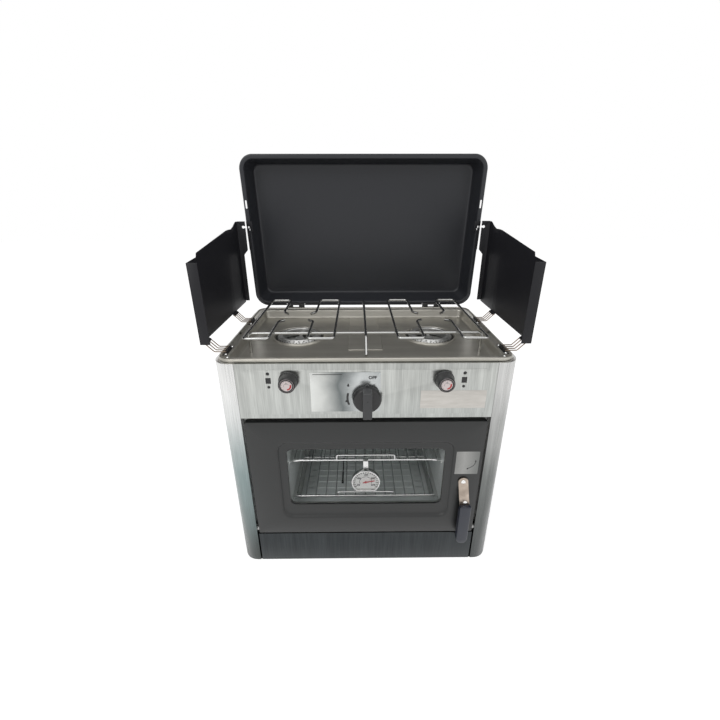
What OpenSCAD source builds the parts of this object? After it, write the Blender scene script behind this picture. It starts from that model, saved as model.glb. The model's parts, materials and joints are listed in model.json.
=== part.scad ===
// Folding camp oven: gas oven with a drop-down glazed door, a two-burner hob,
// a tray-shaped lid and two wind shields that fold flat over the pot supports.
// The origin is on the floor under the middle of the casing, +Z up, +Y to the back.

/* [Casing] */
// Width of the casing
body_w = 520; // [490:5:560]
// Depth of the casing
body_d = 326; // [316:2:350]
// Height of the casing above its bottom edge
body_h = 456; // [450:2:480]
// Radius of the casing's vertical corners
corner_r = 30; // [26:1:36]
// Thickness of the sheet steel
sheet = 1; // [0.8:0.1:1.2]
// Height of the rubber feet
feet_h = 5; // [3:1:10]
// Radius of a foot
foot_r = 12; // [8:1:16]
// Width of a side panel's fold on the front
side_front = 37.3; // [34:0.1:42]
// Joint between two sheets
seam = 0.4; // [0.3:0.1:0.8]
// Depth of a folded return
return_d = 10; // [6:1:14]
// Height of the kick panel
kick_h = 73.5; // [60:0.5:74]
// Height of the fascia
fascia_h = 105.5; // [98:0.5:106]
// Number of vent slots in a row of the rear panel
vent_count = 9; // [5:1:12]

/* [Hob] */
// Set-back of the hob's rolled rim from the casing's sides
rim_inset = 6; // [4:0.5:8]
// Set-back of the rim from the front plane
rim_back = 3.4; // [3:0.1:5]
// Set-back of the rim from the rear plane
rim_ahead = 3; // [3:0.1:5]
// Radius of the rolled rim bead
bead_r = 3.7; // [3:0.1:3.8]
// Width of the rim at the sides, from its edge to the pan
rim_side = 17.5; // [16:0.5:18]
// Width of the rim at the front
rim_front = 15.6; // [13:0.1:16]
// Width of the rim at the back
rim_rear = 20; // [18:0.5:22]
// Depth of the pan below the rim's shelf
pan_depth = 18.4; // [14:0.2:22]
// Draft of the pan's walls
pan_draft = 3; // [1:0.5:5]
// Distance from the pan's side to the middle of a burner
burner_side = 100.5; // [96:0.5:104]
// Distance of the burners behind the middle of the pan
burner_shift = 9; // [4:1:14]
// Radius of the burner hole in the pan
burner_hole_r = 50; // [48:0.5:54]
// Outer radius of the burner ring
ring_r = 45; // [42:0.5:46]
// Inner radius of the burner ring
ring_inner_r = 34; // [30:0.5:36]
// Height of the burner ring
ring_h = 15; // [12:1:18]
// Number of flame ports in a ring
port_count = 28; // [16:2:36]

/* [Pot supports] */
// Radius of the pot support wire
wire_r = 2.5; // [2:0.1:2.6]
// Height of the pot support wires above the pan
support_h = 43; // [40:1:44]
// Distance from a burner to the outer wires
loop_out = 77; // [70:1:80]
// Distance from a burner to the inner wires
loop_in = 80; // [70:1:84]
// Distance from a burner to the fingers
finger_x = 34; // [28:1:38]
// Distance from the pan's front to the front bars
loop_front = 21; // [18:1:30]
// Distance from the pan's back to the rear bars
loop_rear = 3; // [3:1:10]
// Distance from a burner's middle to the bends at the fingers' tips
finger_gap = 32; // [28:1:38]
// Reach of the hook at a finger's tip
hook_len = 14; // [10:1:16]
// Distance from the pan's front to the cross bar
cross_front = 63; // [56:1:76]

/* [Lid] */
// Set-back of the closed lid's edge from the front plane
lid_back = 3.7; // [3.7:0.1:5]
// Corner radius of the lid's flange
lid_r = 30; // [26:1:34]
// Width of the lid's flange
lid_flange = 10; // [9:0.5:11]
// Depth of the lid's tray
lid_depth = 45; // [43:1:48]
// Draft of the lid's walls
lid_draft = 9.5; // [9:0.5:11]
// Forward lean of the lid in the open position
lid_lean = 4.44; // [3:0.02:6]
// Gap between the closed lid and the rim
lid_gap = 3.4; // [3.4:0.1:4]
// Distance of the hinge axis behind the lid's flange plane
hinge_back = 2.2; // [2:0.1:2.6]
// Distance of the hinge pin behind the casing
hinge_out = 2.7; // [2.6:0.1:3]
// Radius of the lid's hinge knuckles
knuckle_r = 2.6; // [2.4:0.1:2.7]
// Radius of the lid's hinge pins
pin_r = 1.5; // [1.2:0.1:1.6]
// Distance from the casing's side to a lid hinge
lid_hinge_side = 95; // [70:5:130]

/* [Wind shields] */
// Distance of a shield's outer face from the casing's side
shield_out = 20; // [18:0.5:24]
// Distance from the front plane to the shield's front edge
shield_front = 21.5; // [21:0.5:24]
// Distance from the rear plane to the shield's rear flange
shield_back = 20; // [19:0.5:22]
// Height of the shield at its front
shield_h_front = 136; // [120:1:145]
// Height of the shield where the top edge ends
shield_h_rear = 167; // [155:1:172]
// Height of the shield's hook tab
shield_h_tab = 180; // [174:1:184]
// Height of the step in the top edge
shield_step = 6.5; // [4:0.5:9]
// Width of the shield's front flange
shield_flange = 17; // [14:0.5:17]
// Width of the shield's rear flange
shield_rear_flange = 10; // [8:0.5:12]
// Height of the hook tab's own plate
tab_h = 63; // [50:1:65]
// Width of a link
link_w = 26; // [22:1:28]
// Radius of the link wire
link_r = 1.1; // [1:0.05:1.2]
// Distance from the front plane to the front link
link_front = 33; // [30:1:40]
// Distance from the rear plane to the rear link
link_back = 125; // [112:1:125]
// Distance from the casing's side to the links' inner pivot
link_side = 17; // [16:0.5:18]
// Running clearance of the wires in their knuckles
fit = 0.05; // [0.02:0.01:0.1]

/* [Door] */
// Gap at each side of the door
door_side = 3.8; // [3:0.1:6]
// Gap between the kick panel and the door
door_foot = 2.5; // [2:0.1:4]
// Gap between the door and the fascia
door_head = 9; // [7:0.5:12]
// Depth of the door
door_t = 14; // [13:0.5:15]
// Width of the door's face beside the window recess
recess_side = 53.5; // [46:0.5:60]
// Height of the door's face below the recess
recess_foot = 41; // [36:1:46]
// Height of the door's face above the recess
recess_head = 44.5; // [38:0.5:50]
// Depth of the recess
recess_d = 5; // [3:0.5:6]
// Width of the recess beside the window
window_side = 16; // [13:0.5:24]
// Height of the recess below the window
window_foot = 29; // [24:1:34]
// Height of the recess above the window
window_head = 18; // [14:1:26]
// Thickness of the glass
glass_t = 4; // [3:0.5:4]
// Door hinge axis behind the front plane
door_axis_y = 8; // [7.5:0.1:8.2]
// Door hinge axis above the door's bottom edge
door_axis_z = 6.5; // [6.3:0.1:7]
// Radius of the door's hinge pins
door_pin_r = 3; // [2.5:0.1:3.2]

/* [Latch] */
// Distance from the door's side to the latch spindle
latch_side = 31.5; // [28:0.5:34]
// Distance from the door's top to the latch spindle
latch_head = 134.5; // [120:0.5:145]
// Radius of the latch spindle
spindle_r = 4; // [3:0.25:4.5]
// Length of the latch strap between its rivets
strap_len = 44; // [40:1:50]
// Width of the latch strap
strap_w = 19; // [16:1:20]
// Length of the latch grip
grip_len = 94; // [80:1:98]
// Width of the latch grip
grip_w = 22; // [18:1:24]

/* [Oven] */
// Distance of the liner's wall beside the window's edge
liner_side = 2; // [1:0.5:6]
// Distance from the door's bottom edge up to the liner's floor
liner_foot = 36; // [32:1:40]
// Distance from the door's top edge down to the liner's roof
liner_head = 19.5; // [18:0.5:28]
// Gap between the floor plate and the liner's sides
spreader_side = 11.5; // [8:0.5:20]
// Gap between the floor plate and the liner's ends
spreader_end = 44; // [30:1:60]
// Space between the oven liner and the rear plane
liner_rear = 30.3; // [20:0.1:50]
// Distance from the liner's roof to the upper rack
rack_head = 90; // [80:1:98]
// Distance from the liner's floor to the lower rack
rack_foot = 29; // [26:1:36]
// Radius of the rack's frame wire
rack_r = 2; // [1.6:0.1:2.2]
// Number of a rack's depth wires
rack_wires = 13; // [9:2:17]
// Gap between the racks and the liner's sides
rack_side = 7.5; // [6:0.5:10]
// Distance from the front plane to the racks
rack_front = 34; // [33:1:38]
// Gap between the racks and the liner's back
rack_rear = 10.7; // [8:0.1:40]
// Radius of the thermometer
thermo_r = 28; // [24:0.5:29]

/* [Controls] */
// Distance from the casing's side to the small knobs
knob_side = 128.5; // [124:0.5:132]
// Distance from the casing's top edge to the small knobs
knob_head = 28.5; // [26:0.5:31]
// Distance of the oven knob from the middle
oven_knob_x = 1.3; // [-4:0.1:6]
// Distance from the casing's top edge to the oven knob
oven_knob_head = 64.5; // [62:0.5:68]
// Radius of a small knob
knob_r = 16.5; // [14:0.5:18]
// Radius of the oven knob
oven_knob_r = 25; // [22:0.5:27]
// Travel of a knob when it is pushed in
push = 3; // [2:0.5:3]
// Radius of a valve stem
stem_r = 4; // [3:0.25:4]

/* [Hidden] */
$fn = 48;
front = -body_d / 2;
back = body_d / 2;
base = feet_h;
top = base + body_h;
half_w = body_w / 2;
panel_x = half_w - side_front;
half_front = panel_x - seam;
front_w = 2 * half_front;
fascia_low = top - fascia_h;
// Hob heights and outlines
rim_x = half_w - rim_inset;
rim_w = 2 * rim_x;
rim_front_y = front + rim_back;
rim_rear_y = back - rim_ahead;
rim_d = rim_rear_y - rim_front_y;
rim_mid_y = (rim_front_y + rim_rear_y) / 2;
rim_r = corner_r - 3.4;
bead_z = top + bead_r;
rim_top = bead_z + bead_r;
shelf_z = rim_top - 2;
pan_z = shelf_z - pan_depth;
pan_x = rim_x - rim_side;
pan_front = rim_front_y + rim_front;
pan_rear = rim_rear_y - rim_rear;
pan_mid = (pan_front + pan_rear) / 2;
pan_r = 14;
burner_x = pan_x - burner_side;
burner_y = pan_mid + burner_shift;
bowl_h = 20;
hub_r = 9;
igniter_x = (ring_r + burner_hole_r) / 2;
tube_r = 7;
wire_z = pan_z + support_h;
cross_z = wire_z - 2 * wire_r;
cross_y = pan_front + cross_front;
loop_y1 = pan_front + loop_front;
loop_y2 = pan_rear - loop_rear;
outer_wire_x = burner_x + loop_out;
inner_wire_x = burner_x - loop_in;
// Lid and its hinges
closed_z = rim_top + lid_gap;
hinge_y = back + hinge_out;
hinge_z = closed_z + hinge_back;
lid_edge = 2.5;
lid_w = body_w;
lid_len = hinge_y - front - lid_back + lid_edge;
lid_hinge_x = half_w - lid_hinge_side;
lid_skin = 0.9;
knuckle_len = 14;
// Shields and links
shield_x = half_w + shield_out;
shield_rear = body_d - shield_back;
shield_z = closed_z + 15.2;
tab_u = shield_z + shield_h_tab - hinge_z;
link_rear = body_d - link_back;
link_in_x = half_w - link_side;
link_in_z = rim_top + 1.7;
link_crank_x = lid_w / 2 + 2;
barrel_r = link_r + 1.5;
link_out_x = shield_x - sheet - barrel_r;
link_out_z = shield_z - barrel_r;
link_pitch = link_w / 3;
tab_edge = lid_w / 2 + 1;
// Oven front, door and latch
door_w = front_w - 2 * door_side;
door_low = kick_h + door_foot;
door_h = body_h - fascia_h - door_head - door_low;
recess_x = door_w / 2 - recess_side;
recess_low = door_low + recess_foot;
recess_h = door_h - recess_foot - recess_head;
window_x = recess_x - window_side;
window_low = recess_low + window_foot;
window_h = recess_h - window_foot - window_head;
latch_x = door_w / 2 - latch_side;
latch_z = door_low + door_h - latch_head;
frame_y = front + door_t + 2.7;
door_y = front + door_axis_y;
door_z = base + door_low + door_axis_z;
door_top = base + door_low + door_h;
glass_y = front + recess_d + sheet + 0.05;
latch_h = base + latch_z;
tongue_y = frame_y + sheet + 0.3;
strap_y = front - 3.2;
strap_t = 2;
standoff = 8;
grip_t = 14;
keeper_reach = 26;
// Oven, racks and thermometer
liner_x = window_x + liner_side;
liner_y = frame_y + sheet;
liner_d = back - liner_rear - liner_y;
liner_low = door_low + liner_foot;
liner_h = door_h - liner_foot - liner_head;
rack_x = liner_x - rack_side;
rack_pitch = 2 * rack_x / (rack_wires + 1);
rack_y = front + rack_front;
rack_d = liner_y + liner_d - sheet - rack_rear - rack_y;
rack_up = liner_low + liner_h - rack_head;
rack_low = liner_low + rack_foot;
rack_thin = 1.3;
rack_sink = 0.8;
runner_t = 1.2;
thermo_y = rack_y - 9;
thermo_z = base + rack_up - 41;
thermo_t = 10;
// Controls and gas
knob_x = half_w - knob_side;
knob_z = body_h - knob_head;
oven_knob_z = body_h - oven_knob_head;
clip_x = knob_x + 35;
emboss = 0.8;
plate_t = 0.4;
face_y = front - emboss;
knob_back = face_y - plate_t - push - 0.4;
knob_depth = 21;
stem_in = front + 17;
stem_out = knob_back - 14;
valve_back = front + 34;
rail_y = front + 26;
rail_z = top - 47;
rail_r = 6;
rail_end = 14;
inlet_x = half_w - 64;
inlet_r = 5;
inlet_len = 24;
steel = [0.66, 0.67, 0.66];
bright = [0.82, 0.82, 0.80];
black = [0.13, 0.13, 0.14];

// Rounded rectangle, centred
module rrect(w, d, r) {
    square([w - 2 * r, d], center = true);
    square([w, d - 2 * r], center = true);
    for (sx = [-1, 1], sy = [-1, 1])
        translate([sx * (w / 2 - r), sy * (d / 2 - r)]) circle(r = r);
}

// Upright sheet in the XZ plane, from y to y + t
module upright(y, t) {
    translate([0, y + t, 0]) rotate([90, 0, 0]) linear_extrude(t) children();
}

// Round bar between two points
module rod(a, b, r) {
    v = b - a;
    len = norm(v);
    translate(a) rotate([0, acos(v[2] / len), atan2(v[1], v[0])])
        cylinder(r = r, h = len, $fn = 24);
}

// Wire bent through a list of points
module wire(points, r) {
    for (i = [0 : len(points) - 2]) rod(points[i], points[i + 1], r);
    if (len(points) > 2) for (i = [1 : len(points) - 2])
        translate(points[i]) sphere(r = r * 1.02, $fn = 24);
}

// Round bead along a rounded rectangle, centred
module bead(w, d, r, bead) {
    for (s = [-1, 1]) {
        translate([s * w / 2, 0, 0]) rotate([90, 0, 0])
            cylinder(r = bead, h = d - 2 * r, center = true);
        translate([0, s * d / 2, 0]) rotate([0, 90, 0])
            cylinder(r = bead, h = w - 2 * r, center = true);
    }
    for (i = [0 : 3]) {
        sx = (i == 0 || i == 3) ? 1 : -1;
        sy = i < 2 ? 1 : -1;
        translate([sx * (w / 2 - r), sy * (d / 2 - r), 0]) rotate(90 * i)
            rotate_extrude(angle = 90) translate([r, 0]) circle(r = bead);
    }
}

module mirrored(side) {
    if (side < 0) mirror([1, 0, 0]) children();
    else children();
}

// Casing
module casing_ring(z, h, width, inset = 0) {
    translate([0, 0, z]) linear_extrude(h) difference() {
        rrect(body_w - 2 * inset, body_d - 2 * inset, corner_r - inset);
        rrect(body_w - 2 * inset - 2 * width, body_d - 2 * inset - 2 * width,
            max(corner_r - inset - width, 2));
    }
}

module side_panel(side) {
    mirrored(side) color(steel) {
        intersection() {
            union() {
                casing_ring(base, body_h, sheet);
                casing_ring(base + body_h - sheet, sheet, return_d);
                casing_ring(base + sheet + seam / 4, sheet, return_d);
            }
            translate([panel_x, front, base]) cube([half_w, body_d, body_h]);
        }
        // Returns behind the front and rear edges
        translate([panel_x, front + sheet / 2, base + 2]) cube([sheet, frame_y - front + 0.5, body_h - 4]);
        translate([panel_x, back - return_d, base + 2]) cube([sheet, return_d - sheet / 2, body_h - 4]);
    }
}

module side_panel_left() { side_panel(-1); }
module side_panel_right() { side_panel(1); }

module fascia() {
    w = front_w;
    hole_r = stem_r + 1;
    pad = 14;
    color(steel) difference() {
        union() {
            translate([-w / 2, front, fascia_low]) cube([w, sheet, fascia_h]);
            translate([-w / 2, front, fascia_low]) cube([w, return_d, sheet]);
            translate([-w / 2, front, top - sheet]) cube([w, return_d, sheet]);
            for (s = [-1, 1])
                translate([s * (w / 2 - sheet / 2) - sheet / 2, front, fascia_low])
                    cube([sheet, return_d, fascia_h]);
            // Raised control field
            translate([0, 0, fascia_low + fascia_h / 2 - 1])
                upright(face_y, emboss + 0.1) rrect(w - 2 * pad + 2, fascia_h - 19, 9);
        }
        for (s = [-1, 1]) {
            hole_at(s * knob_x, base + knob_z, hole_r);
            hole_at(s * clip_x, base + knob_z + 10.5, 3);
            translate([s * clip_x - 4.5, front - 3, base + knob_z - 8]) cube([9, 8, 11]);
        }
        hole_at(oven_knob_x, base + oven_knob_z, hole_r);
    }
}

// Cutter through the front sheets
module hole_at(x, z, r) {
    translate([x, front + 5, z]) rotate([90, 0, 0]) cylinder(r = r, h = 12);
}

module kick_panel() {
    w = door_w + 2;
    color(steel) {
        translate([-w / 2, front, base]) cube([w, sheet, kick_h]);
        translate([-w / 2, front, base + sheet + seam / 4]) cube([w, return_d, sheet]);
        for (s = [-1, 1])
            translate([s * (w / 2 - sheet / 2) - sheet / 2, front, base + sheet + seam / 4])
                cube([sheet, return_d, kick_h - 8]);
    }
}

module rear_panel() {
    slot_w = 34;
    slot_h = 5;
    pitch = (front_w - 40) / vent_count;
    color(steel) difference() {
        union() {
            translate([-front_w / 2, back - sheet, base]) cube([front_w, sheet, body_h]);
            translate([-front_w / 2, back - return_d, top - sheet]) cube([front_w, return_d, sheet]);
        }
        for (i = [0 : vent_count - 1], z = [base + 60, base + 76, top - 116, top - 100])
            translate([(i - (vent_count - 1) / 2) * pitch, 0, z])
                upright(back - sheet - 1, sheet + 2) rrect(slot_w, slot_h, slot_h / 2 - 0.1);
        translate([inlet_x, back + 2, rail_z]) rotate([90, 0, 0]) cylinder(r = inlet_r + 2.5, h = 8);
    }
}

module base_pan() {
    slot = 60;
    inset = sheet + seam / 4;
    color(steel) difference() {
        translate([0, 0, base]) linear_extrude(sheet)
            rrect(body_w - 2 * inset, body_d - 2 * inset, corner_r - inset);
        for (i = [-2 : 2], j = [-1, 1])
            translate([i * 72, j * 60, base - 1]) linear_extrude(sheet + 2) rrect(slot, 8, 3.9);
        for (p = foot_places()) translate([p[0], p[1], base - 1]) cylinder(r = 2.6, h = 4);
    }
}

function foot_places() = [for (sx = [-1, 1], sy = [-1, 1])
    [sx * (half_w - 34), sy * (body_d / 2 - 34)]];

module feet() {
    color(black) for (p = foot_places()) translate([p[0], p[1], 0]) {
        rotate_extrude() polygon([[0, 0], [foot_r - 1.5, 0], [foot_r, 1.5], [foot_r - 1, base],
            [2.5, base], [2.5, base + sheet + 3], [0, base + sheet + 3]]);
    }
}

module face_frame() {
    w = 2 * (panel_x - seam);
    low = base + kick_h + 1.5;
    mouth_z = base + liner_low + liner_h / 2;
    tongue = keeper_reach + 2;
    color(steel) difference() {
        translate([-w / 2, frame_y, low]) cube([w, sheet, fascia_low - low]);
        translate([0, 0, mouth_z]) upright(frame_y - 1, sheet + 2)
            rrect(2 * liner_x, liner_h, 6);
        translate([latch_x - 7, frame_y - 1, latch_h - 7]) cube([tongue + 7, sheet + 2, tongue + 9]);
    }
}

module oven_liner() {
    y0 = liner_y;
    mouth_z = base + liner_low + liner_h / 2;
    slot_pitch = (2 * liner_x - 42) / 5;
    color([0.45, 0.46, 0.45]) difference() {
        translate([0, 0, mouth_z]) upright(y0, liner_d)
            rrect(2 * liner_x + 2 * sheet, liner_h + 2 * sheet, 6 + sheet);
        translate([0, 0, mouth_z]) upright(y0 - 1, liner_d + 1 - sheet)
            rrect(2 * liner_x, liner_h, 6);
        // Heat slots in the floor and the flue in the roof
        for (i = [-2 : 2]) translate([i * slot_pitch, y0 + liner_d / 2, base + liner_low - sheet - 1])
            linear_extrude(sheet + 2) rrect(14, liner_d - 98, 6.9);
        translate([0, y0 + liner_d - 24, base + liner_low + liner_h - 1])
            linear_extrude(sheet + 2) rrect(2 * liner_x - 122, 14, 6.9);
    }
}

module rack_runners() {
    reach = rack_side + rack_pitch / 2;
    color(bright) for (s = [-1, 1], z = [rack_up, rack_low]) {
        zr = base + z - rack_r - 0.3;
        translate([s * (liner_x - reach / 2) - reach / 2, rack_y, zr - runner_t])
            cube([reach, rack_d, runner_t]);
        translate([s * (liner_x - runner_t / 2) - runner_t / 2, rack_y, zr - 7])
            cube([runner_t, rack_d, 7]);
    }
}

// Floor plate over the burner, with raised beads across it and heat slots at its sides
module flame_spreader() {
    z = base + liner_low;
    w = 2 * (liner_x - spreader_side);
    d = liner_d - 2 * spreader_end;
    y0 = liner_y + spreader_end;
    lift = 7;
    bead_count = 9;
    pitch = d / (bead_count + 1);
    bead_len = w - 70;
    color([0.4, 0.4, 0.4]) {
        difference() {
            union() {
                translate([-w / 2, y0, z + lift]) cube([w, d, sheet]);
                for (s = [-1, 1])
                    translate([s * (w / 2 - sheet / 2) - sheet / 2, y0, z]) cube([sheet, d, lift + sheet / 2]);
                for (i = [1 : bead_count]) translate([-bead_len / 2, y0 + i * pitch, z + lift + sheet - 0.4])
                    rotate([0, 90, 0]) cylinder(r = 1.6, h = bead_len, $fn = 24);
            }
            for (s = [-1, 1], i = [1 : bead_count])
                translate([s * (w / 2 - 18), y0 + i * pitch, z + lift - 1])
                    linear_extrude(sheet + 2) rrect(18, 6, 2.9);
        }
    }
}

module oven_burner() {
    z = base + liner_low - 28;
    y = 0;
    tube = 2 * liner_x - 82;
    feed_x = liner_x + sheet + 12;
    feed_z = top - 96;
    color([0.5, 0.5, 0.5]) {
        difference() {
            union() {
                translate([-tube / 2, y, z]) rotate([0, 90, 0]) cylinder(r = 9, h = tube);
            }
            for (i = [-9 : 9]) translate([i * tube / 20, y, z]) cylinder(r = 1.4, h = 12, $fn = 16);
        }
        wire([[tube / 2, y, z], [feed_x, y, z], [feed_x, valve_back + 26, z],
            [feed_x, valve_back + 26, feed_z], [oven_knob_x, valve_back + 26, feed_z],
            [oven_knob_x, valve_back + 12, base + oven_knob_z], [oven_knob_x, valve_back, base + oven_knob_z]], 4);
        // Stands on the base
        for (s = [-1, 1]) translate([s * (tube / 2 - 30) - 6, y - 1, base + sheet])
            cube([12, 2, z - base - sheet - 7]);
    }
}

module gas_rail() {
    color([0.72, 0.6, 0.35]) {
        translate([-knob_x - rail_end, rail_y, rail_z]) rotate([0, 90, 0])
            cylinder(r = rail_r, h = inlet_x + knob_x + rail_end);
        translate([inlet_x, rail_y, rail_z]) sphere(r = rail_r);
        translate([inlet_x, rail_y, rail_z]) rotate([-90, 0, 0])
            cylinder(r = rail_r, h = back - 12 - rail_y);
    }
}

module valve(x, z, toward) {
    difference() {
        union() {
            translate([x, stem_in - 10, z]) rotate([-90, 0, 0]) cylinder(r = 8, h = 12);
            translate([x, stem_in, z]) rotate([-90, 0, 0])
                cylinder(r = 11, h = valve_back - stem_in);
            translate([x, rail_y, min(z, rail_z)]) cylinder(r = 7, h = abs(z - rail_z));
        }
        translate([x, stem_in - 11, z]) rotate([-90, 0, 0]) cylinder(r = stem_r + fit, h = 16);
        translate([x - 20, rail_y, rail_z]) rotate([0, 90, 0]) cylinder(r = rail_r, h = 40);
    }
}

module burner_valves() {
    color([0.75, 0.63, 0.38]) {
        for (s = [-1, 1]) valve(s * knob_x, base + knob_z, -1);
        valve(oven_knob_x, base + oven_knob_z, 1);
    }
}

module gas_inlet() {
    y0 = back - 12;
    color([0.75, 0.63, 0.38]) {
        translate([inlet_x, y0, rail_z]) rotate([-90, 0, 0])
            cylinder(r = inlet_r, h = 12 + inlet_len);
        translate([inlet_x, back + 1, rail_z]) rotate([-90, 0, 0]) cylinder(r = 9, h = 6, $fn = 6);
    }
}

// Hob
module pan_outline(grow) {
    rrect(2 * (pan_x + grow), pan_rear - pan_front + 2 * grow, pan_r + grow);
}

// Tapered block of the pan's recess
module pan_block(grow, low, high) {
    hull() {
        translate([0, pan_mid, high]) linear_extrude(0.01) pan_outline(grow);
        translate([0, pan_mid, low]) linear_extrude(0.01) pan_outline(grow - pan_draft);
    }
}

module hob_pan() {
    path_w = rim_w - 2 * bead_r;
    path_d = rim_d - 2 * bead_r;
    field_w = 66;
    field_y = pan_front + 71;
    color(steel) difference() {
        union() {
            translate([0, rim_mid_y, bead_z]) bead(path_w, path_d, rim_r - bead_r, bead_r);
            // Skirt under the bead and shelf inside it
            translate([0, rim_mid_y, top]) linear_extrude(bead_z - top) difference() {
                rrect(path_w + 1, path_d + 1, rim_r - bead_r + 0.5);
                rrect(path_w - 1, path_d - 1, rim_r - bead_r - 0.5);
            }
            difference() {
                translate([0, rim_mid_y, shelf_z - sheet]) linear_extrude(sheet)
                    rrect(path_w, path_d, rim_r - bead_r);
                pan_block(0, pan_z, shelf_z + 1);
            }
            difference() {
                pan_block(sheet, pan_z - sheet, shelf_z - sheet / 2);
                pan_block(0, pan_z, shelf_z + 1);
            }
            // Raised middle field
            translate([-field_w / 2, field_y, pan_z - 0.5]) cube([field_w, pan_rear - 6 - field_y, 2]);
            // Lips round the burner holes
            for (s = [-1, 1]) translate([s * burner_x, burner_y, pan_z - sheet])
                rotate_extrude($fn = 96) translate([burner_hole_r + 1.2, 0]) {
                    square([1.4, 3.2], center = false);
                    translate([0.7, 3.2]) circle(r = 1.3, $fn = 16);
                }
        }
        for (s = [-1, 1]) translate([s * burner_x, burner_y, pan_z - 6])
            cylinder(r = burner_hole_r, h = 14, $fn = 96);
        for (s = [-1, 1]) translate([s * (rim_x - 7), burner_y - 33, rim_top - 3])
            cube([5, 10, 8], center = true);
    }
}

module burner_bowls() {
    z = pan_z - sheet - bowl_h;
    color([0.35, 0.35, 0.35]) for (s = [-1, 1]) translate([s * burner_x, burner_y, z])
        difference() {
            rotate_extrude($fn = 64) polygon([[hub_r + 2.2, 0], [38, 0], [burner_hole_r + 3, bowl_h],
                [burner_hole_r + 1.6, bowl_h], [37, sheet], [hub_r + 2.2, sheet]]);
            for (a = [30 : 60 : 330]) rotate(a) translate([26, 0, -1]) cylinder(r = 5, h = 4, $fn = 24);
            rotate(135) translate([igniter_x, 0, -1]) cylinder(r = 1.8, h = bowl_h + 2, $fn = 24);
        }
}

module burner_rings() {
    z = pan_z + 6 - ring_h;
    hub_low = pan_z - sheet - bowl_h - 8;
    port_r = 1.5;
    slope = 5;
    color(steel) for (s = [-1, 1]) translate([s * burner_x, burner_y, z]) {
        difference() {
            union() {
                rotate_extrude($fn = 72) polygon([[ring_inner_r, 0], [ring_r - 1, 0], [ring_r, 1.5],
                    [ring_r, ring_h - slope], [ring_r - slope, ring_h], [ring_inner_r + 1, ring_h],
                    [ring_inner_r, ring_h - 1.5]]);
                for (a = [0 : 120 : 240]) rotate(a + 90)
                    translate([0, -3, 1]) cube([ring_inner_r + 1, 6, 4]);
                translate([0, 0, hub_low - z]) cylinder(r = hub_r, h = z - hub_low + 6);
            }
            for (i = [0 : port_count - 1]) rotate((i + 0.5) * 360 / port_count)
                translate([ring_r - slope / 2, 0, ring_h - slope / 2]) rotate([0, 45, 0])
                    cylinder(r = port_r, h = 6, center = true, $fn = 16);
        }
    }
}

module mixing_tubes() {
    hub_low = pan_z - sheet - bowl_h - 8;
    tube_z = hub_low - tube_r;
    holder_y = valve_back + 10;
    mid_x = (burner_x + knob_x) / 2;
    color([0.55, 0.55, 0.53]) for (s = [-1, 1]) {
        rod([s * burner_x, holder_y - 1, tube_z], [s * burner_x, burner_y + hub_r, tube_z], tube_r);
        rod([s * burner_x, burner_y, tube_z], [s * burner_x, burner_y, hub_low], tube_r - 0.6);
        // Jet holder between the valve and the tube
        translate([s * mid_x - 9, valve_back, tube_z - 9])
            cube([18, 10, base + knob_z + 8 - tube_z + 9]);
    }
}

module igniters() {
    color([0.9, 0.88, 0.82]) for (s = [-1, 1]) translate([s * burner_x, burner_y, 0]) rotate(135) {
        translate([igniter_x, 0, pan_z - sheet - bowl_h - 4])
            cylinder(r = 1.5, h = bowl_h + 6, $fn = 24);
        translate([igniter_x, 0, pan_z]) cylinder(r = 0.8, h = 3.5, $fn = 24);
    }
}

// One C-shaped loop of a pot support, from finger to finger
module support_loop(cx, x_wire, x_finger) {
    s = x_finger > cx ? -1 : 1;
    y1 = loop_y1;
    y2 = loop_y2;
    tip_y1 = burner_y - finger_gap;
    tip_y2 = burner_y + finger_gap;
    h = hook_len * 0.72;
    wire([[x_finger + s * h, tip_y1 + h, wire_z - 1], [x_finger, tip_y1, wire_z],
        [x_finger, y1, wire_z], [x_wire, y1, wire_z], [x_wire, y2, wire_z], [x_finger, y2, wire_z],
        [x_finger, tip_y2, wire_z], [x_finger + s * h, tip_y2 - h, wire_z - 1]], wire_r);
}

module pot_supports() {
    color(bright) for (s = [-1, 1]) {
        support_loop(s * burner_x, s * outer_wire_x, s * (burner_x + finger_x));
        support_loop(s * burner_x, s * inner_wire_x, s * (burner_x - finger_x));
    }
}

module cross_bar() {
    x = outer_wire_x + 1;
    color(bright) wire([[-x, cross_y, pan_z], [-x, cross_y, cross_z], [x, cross_y, cross_z],
        [x, cross_y, pan_z]], wire_r);
}

module centre_rod() {
    a = [0, pan_front + 31, wire_z];
    b = [0, loop_y2 - 2, wire_z];
    end_r = wire_r - 0.1;
    color(bright) {
        rod(a, b, wire_r);
        rod([0, pan_front - 2.6, shelf_z + end_r], a, end_r);
        rod(b, [0, pan_rear + 9, shelf_z + 1.4], end_r);
        for (p = [a, b]) translate(p) sphere(r = wire_r * 1.02, $fn = 24);
    }
}

module rim_rivets() {
    color(bright) {
        for (s = [-1, 1]) {
            for (y = [link_front - 5, link_front + link_w + 5, link_rear - 5, link_rear + link_w + 5])
                translate([s * (link_in_x - 1), front + y, shelf_z + sheet]) rivet(2.6);
            translate([s * (rim_x - 17.5), front + 17, shelf_z]) rivet(3);
            translate([s * (rim_x - 17.5), rim_rear_y - 14, shelf_z]) rivet(3);
        }
    }
}

module rivet(r) {
    rotate_extrude($fn = 24) polygon([[0, 0], [r, 0], [r * 0.92, 0.7], [r * 0.5, 1.4], [0, 1.6]]);
}

// Knuckles of one link, between its wires
module link_knuckles(x, z, y) {
    for (i = [0 : 2]) translate([x, y + link_pitch * (i + 0.5), z]) rotate([90, 0, 0])
        cylinder(r = barrel_r, h = link_pitch - 2 * link_r - 1.2, center = true, $fn = 32);
}

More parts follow.
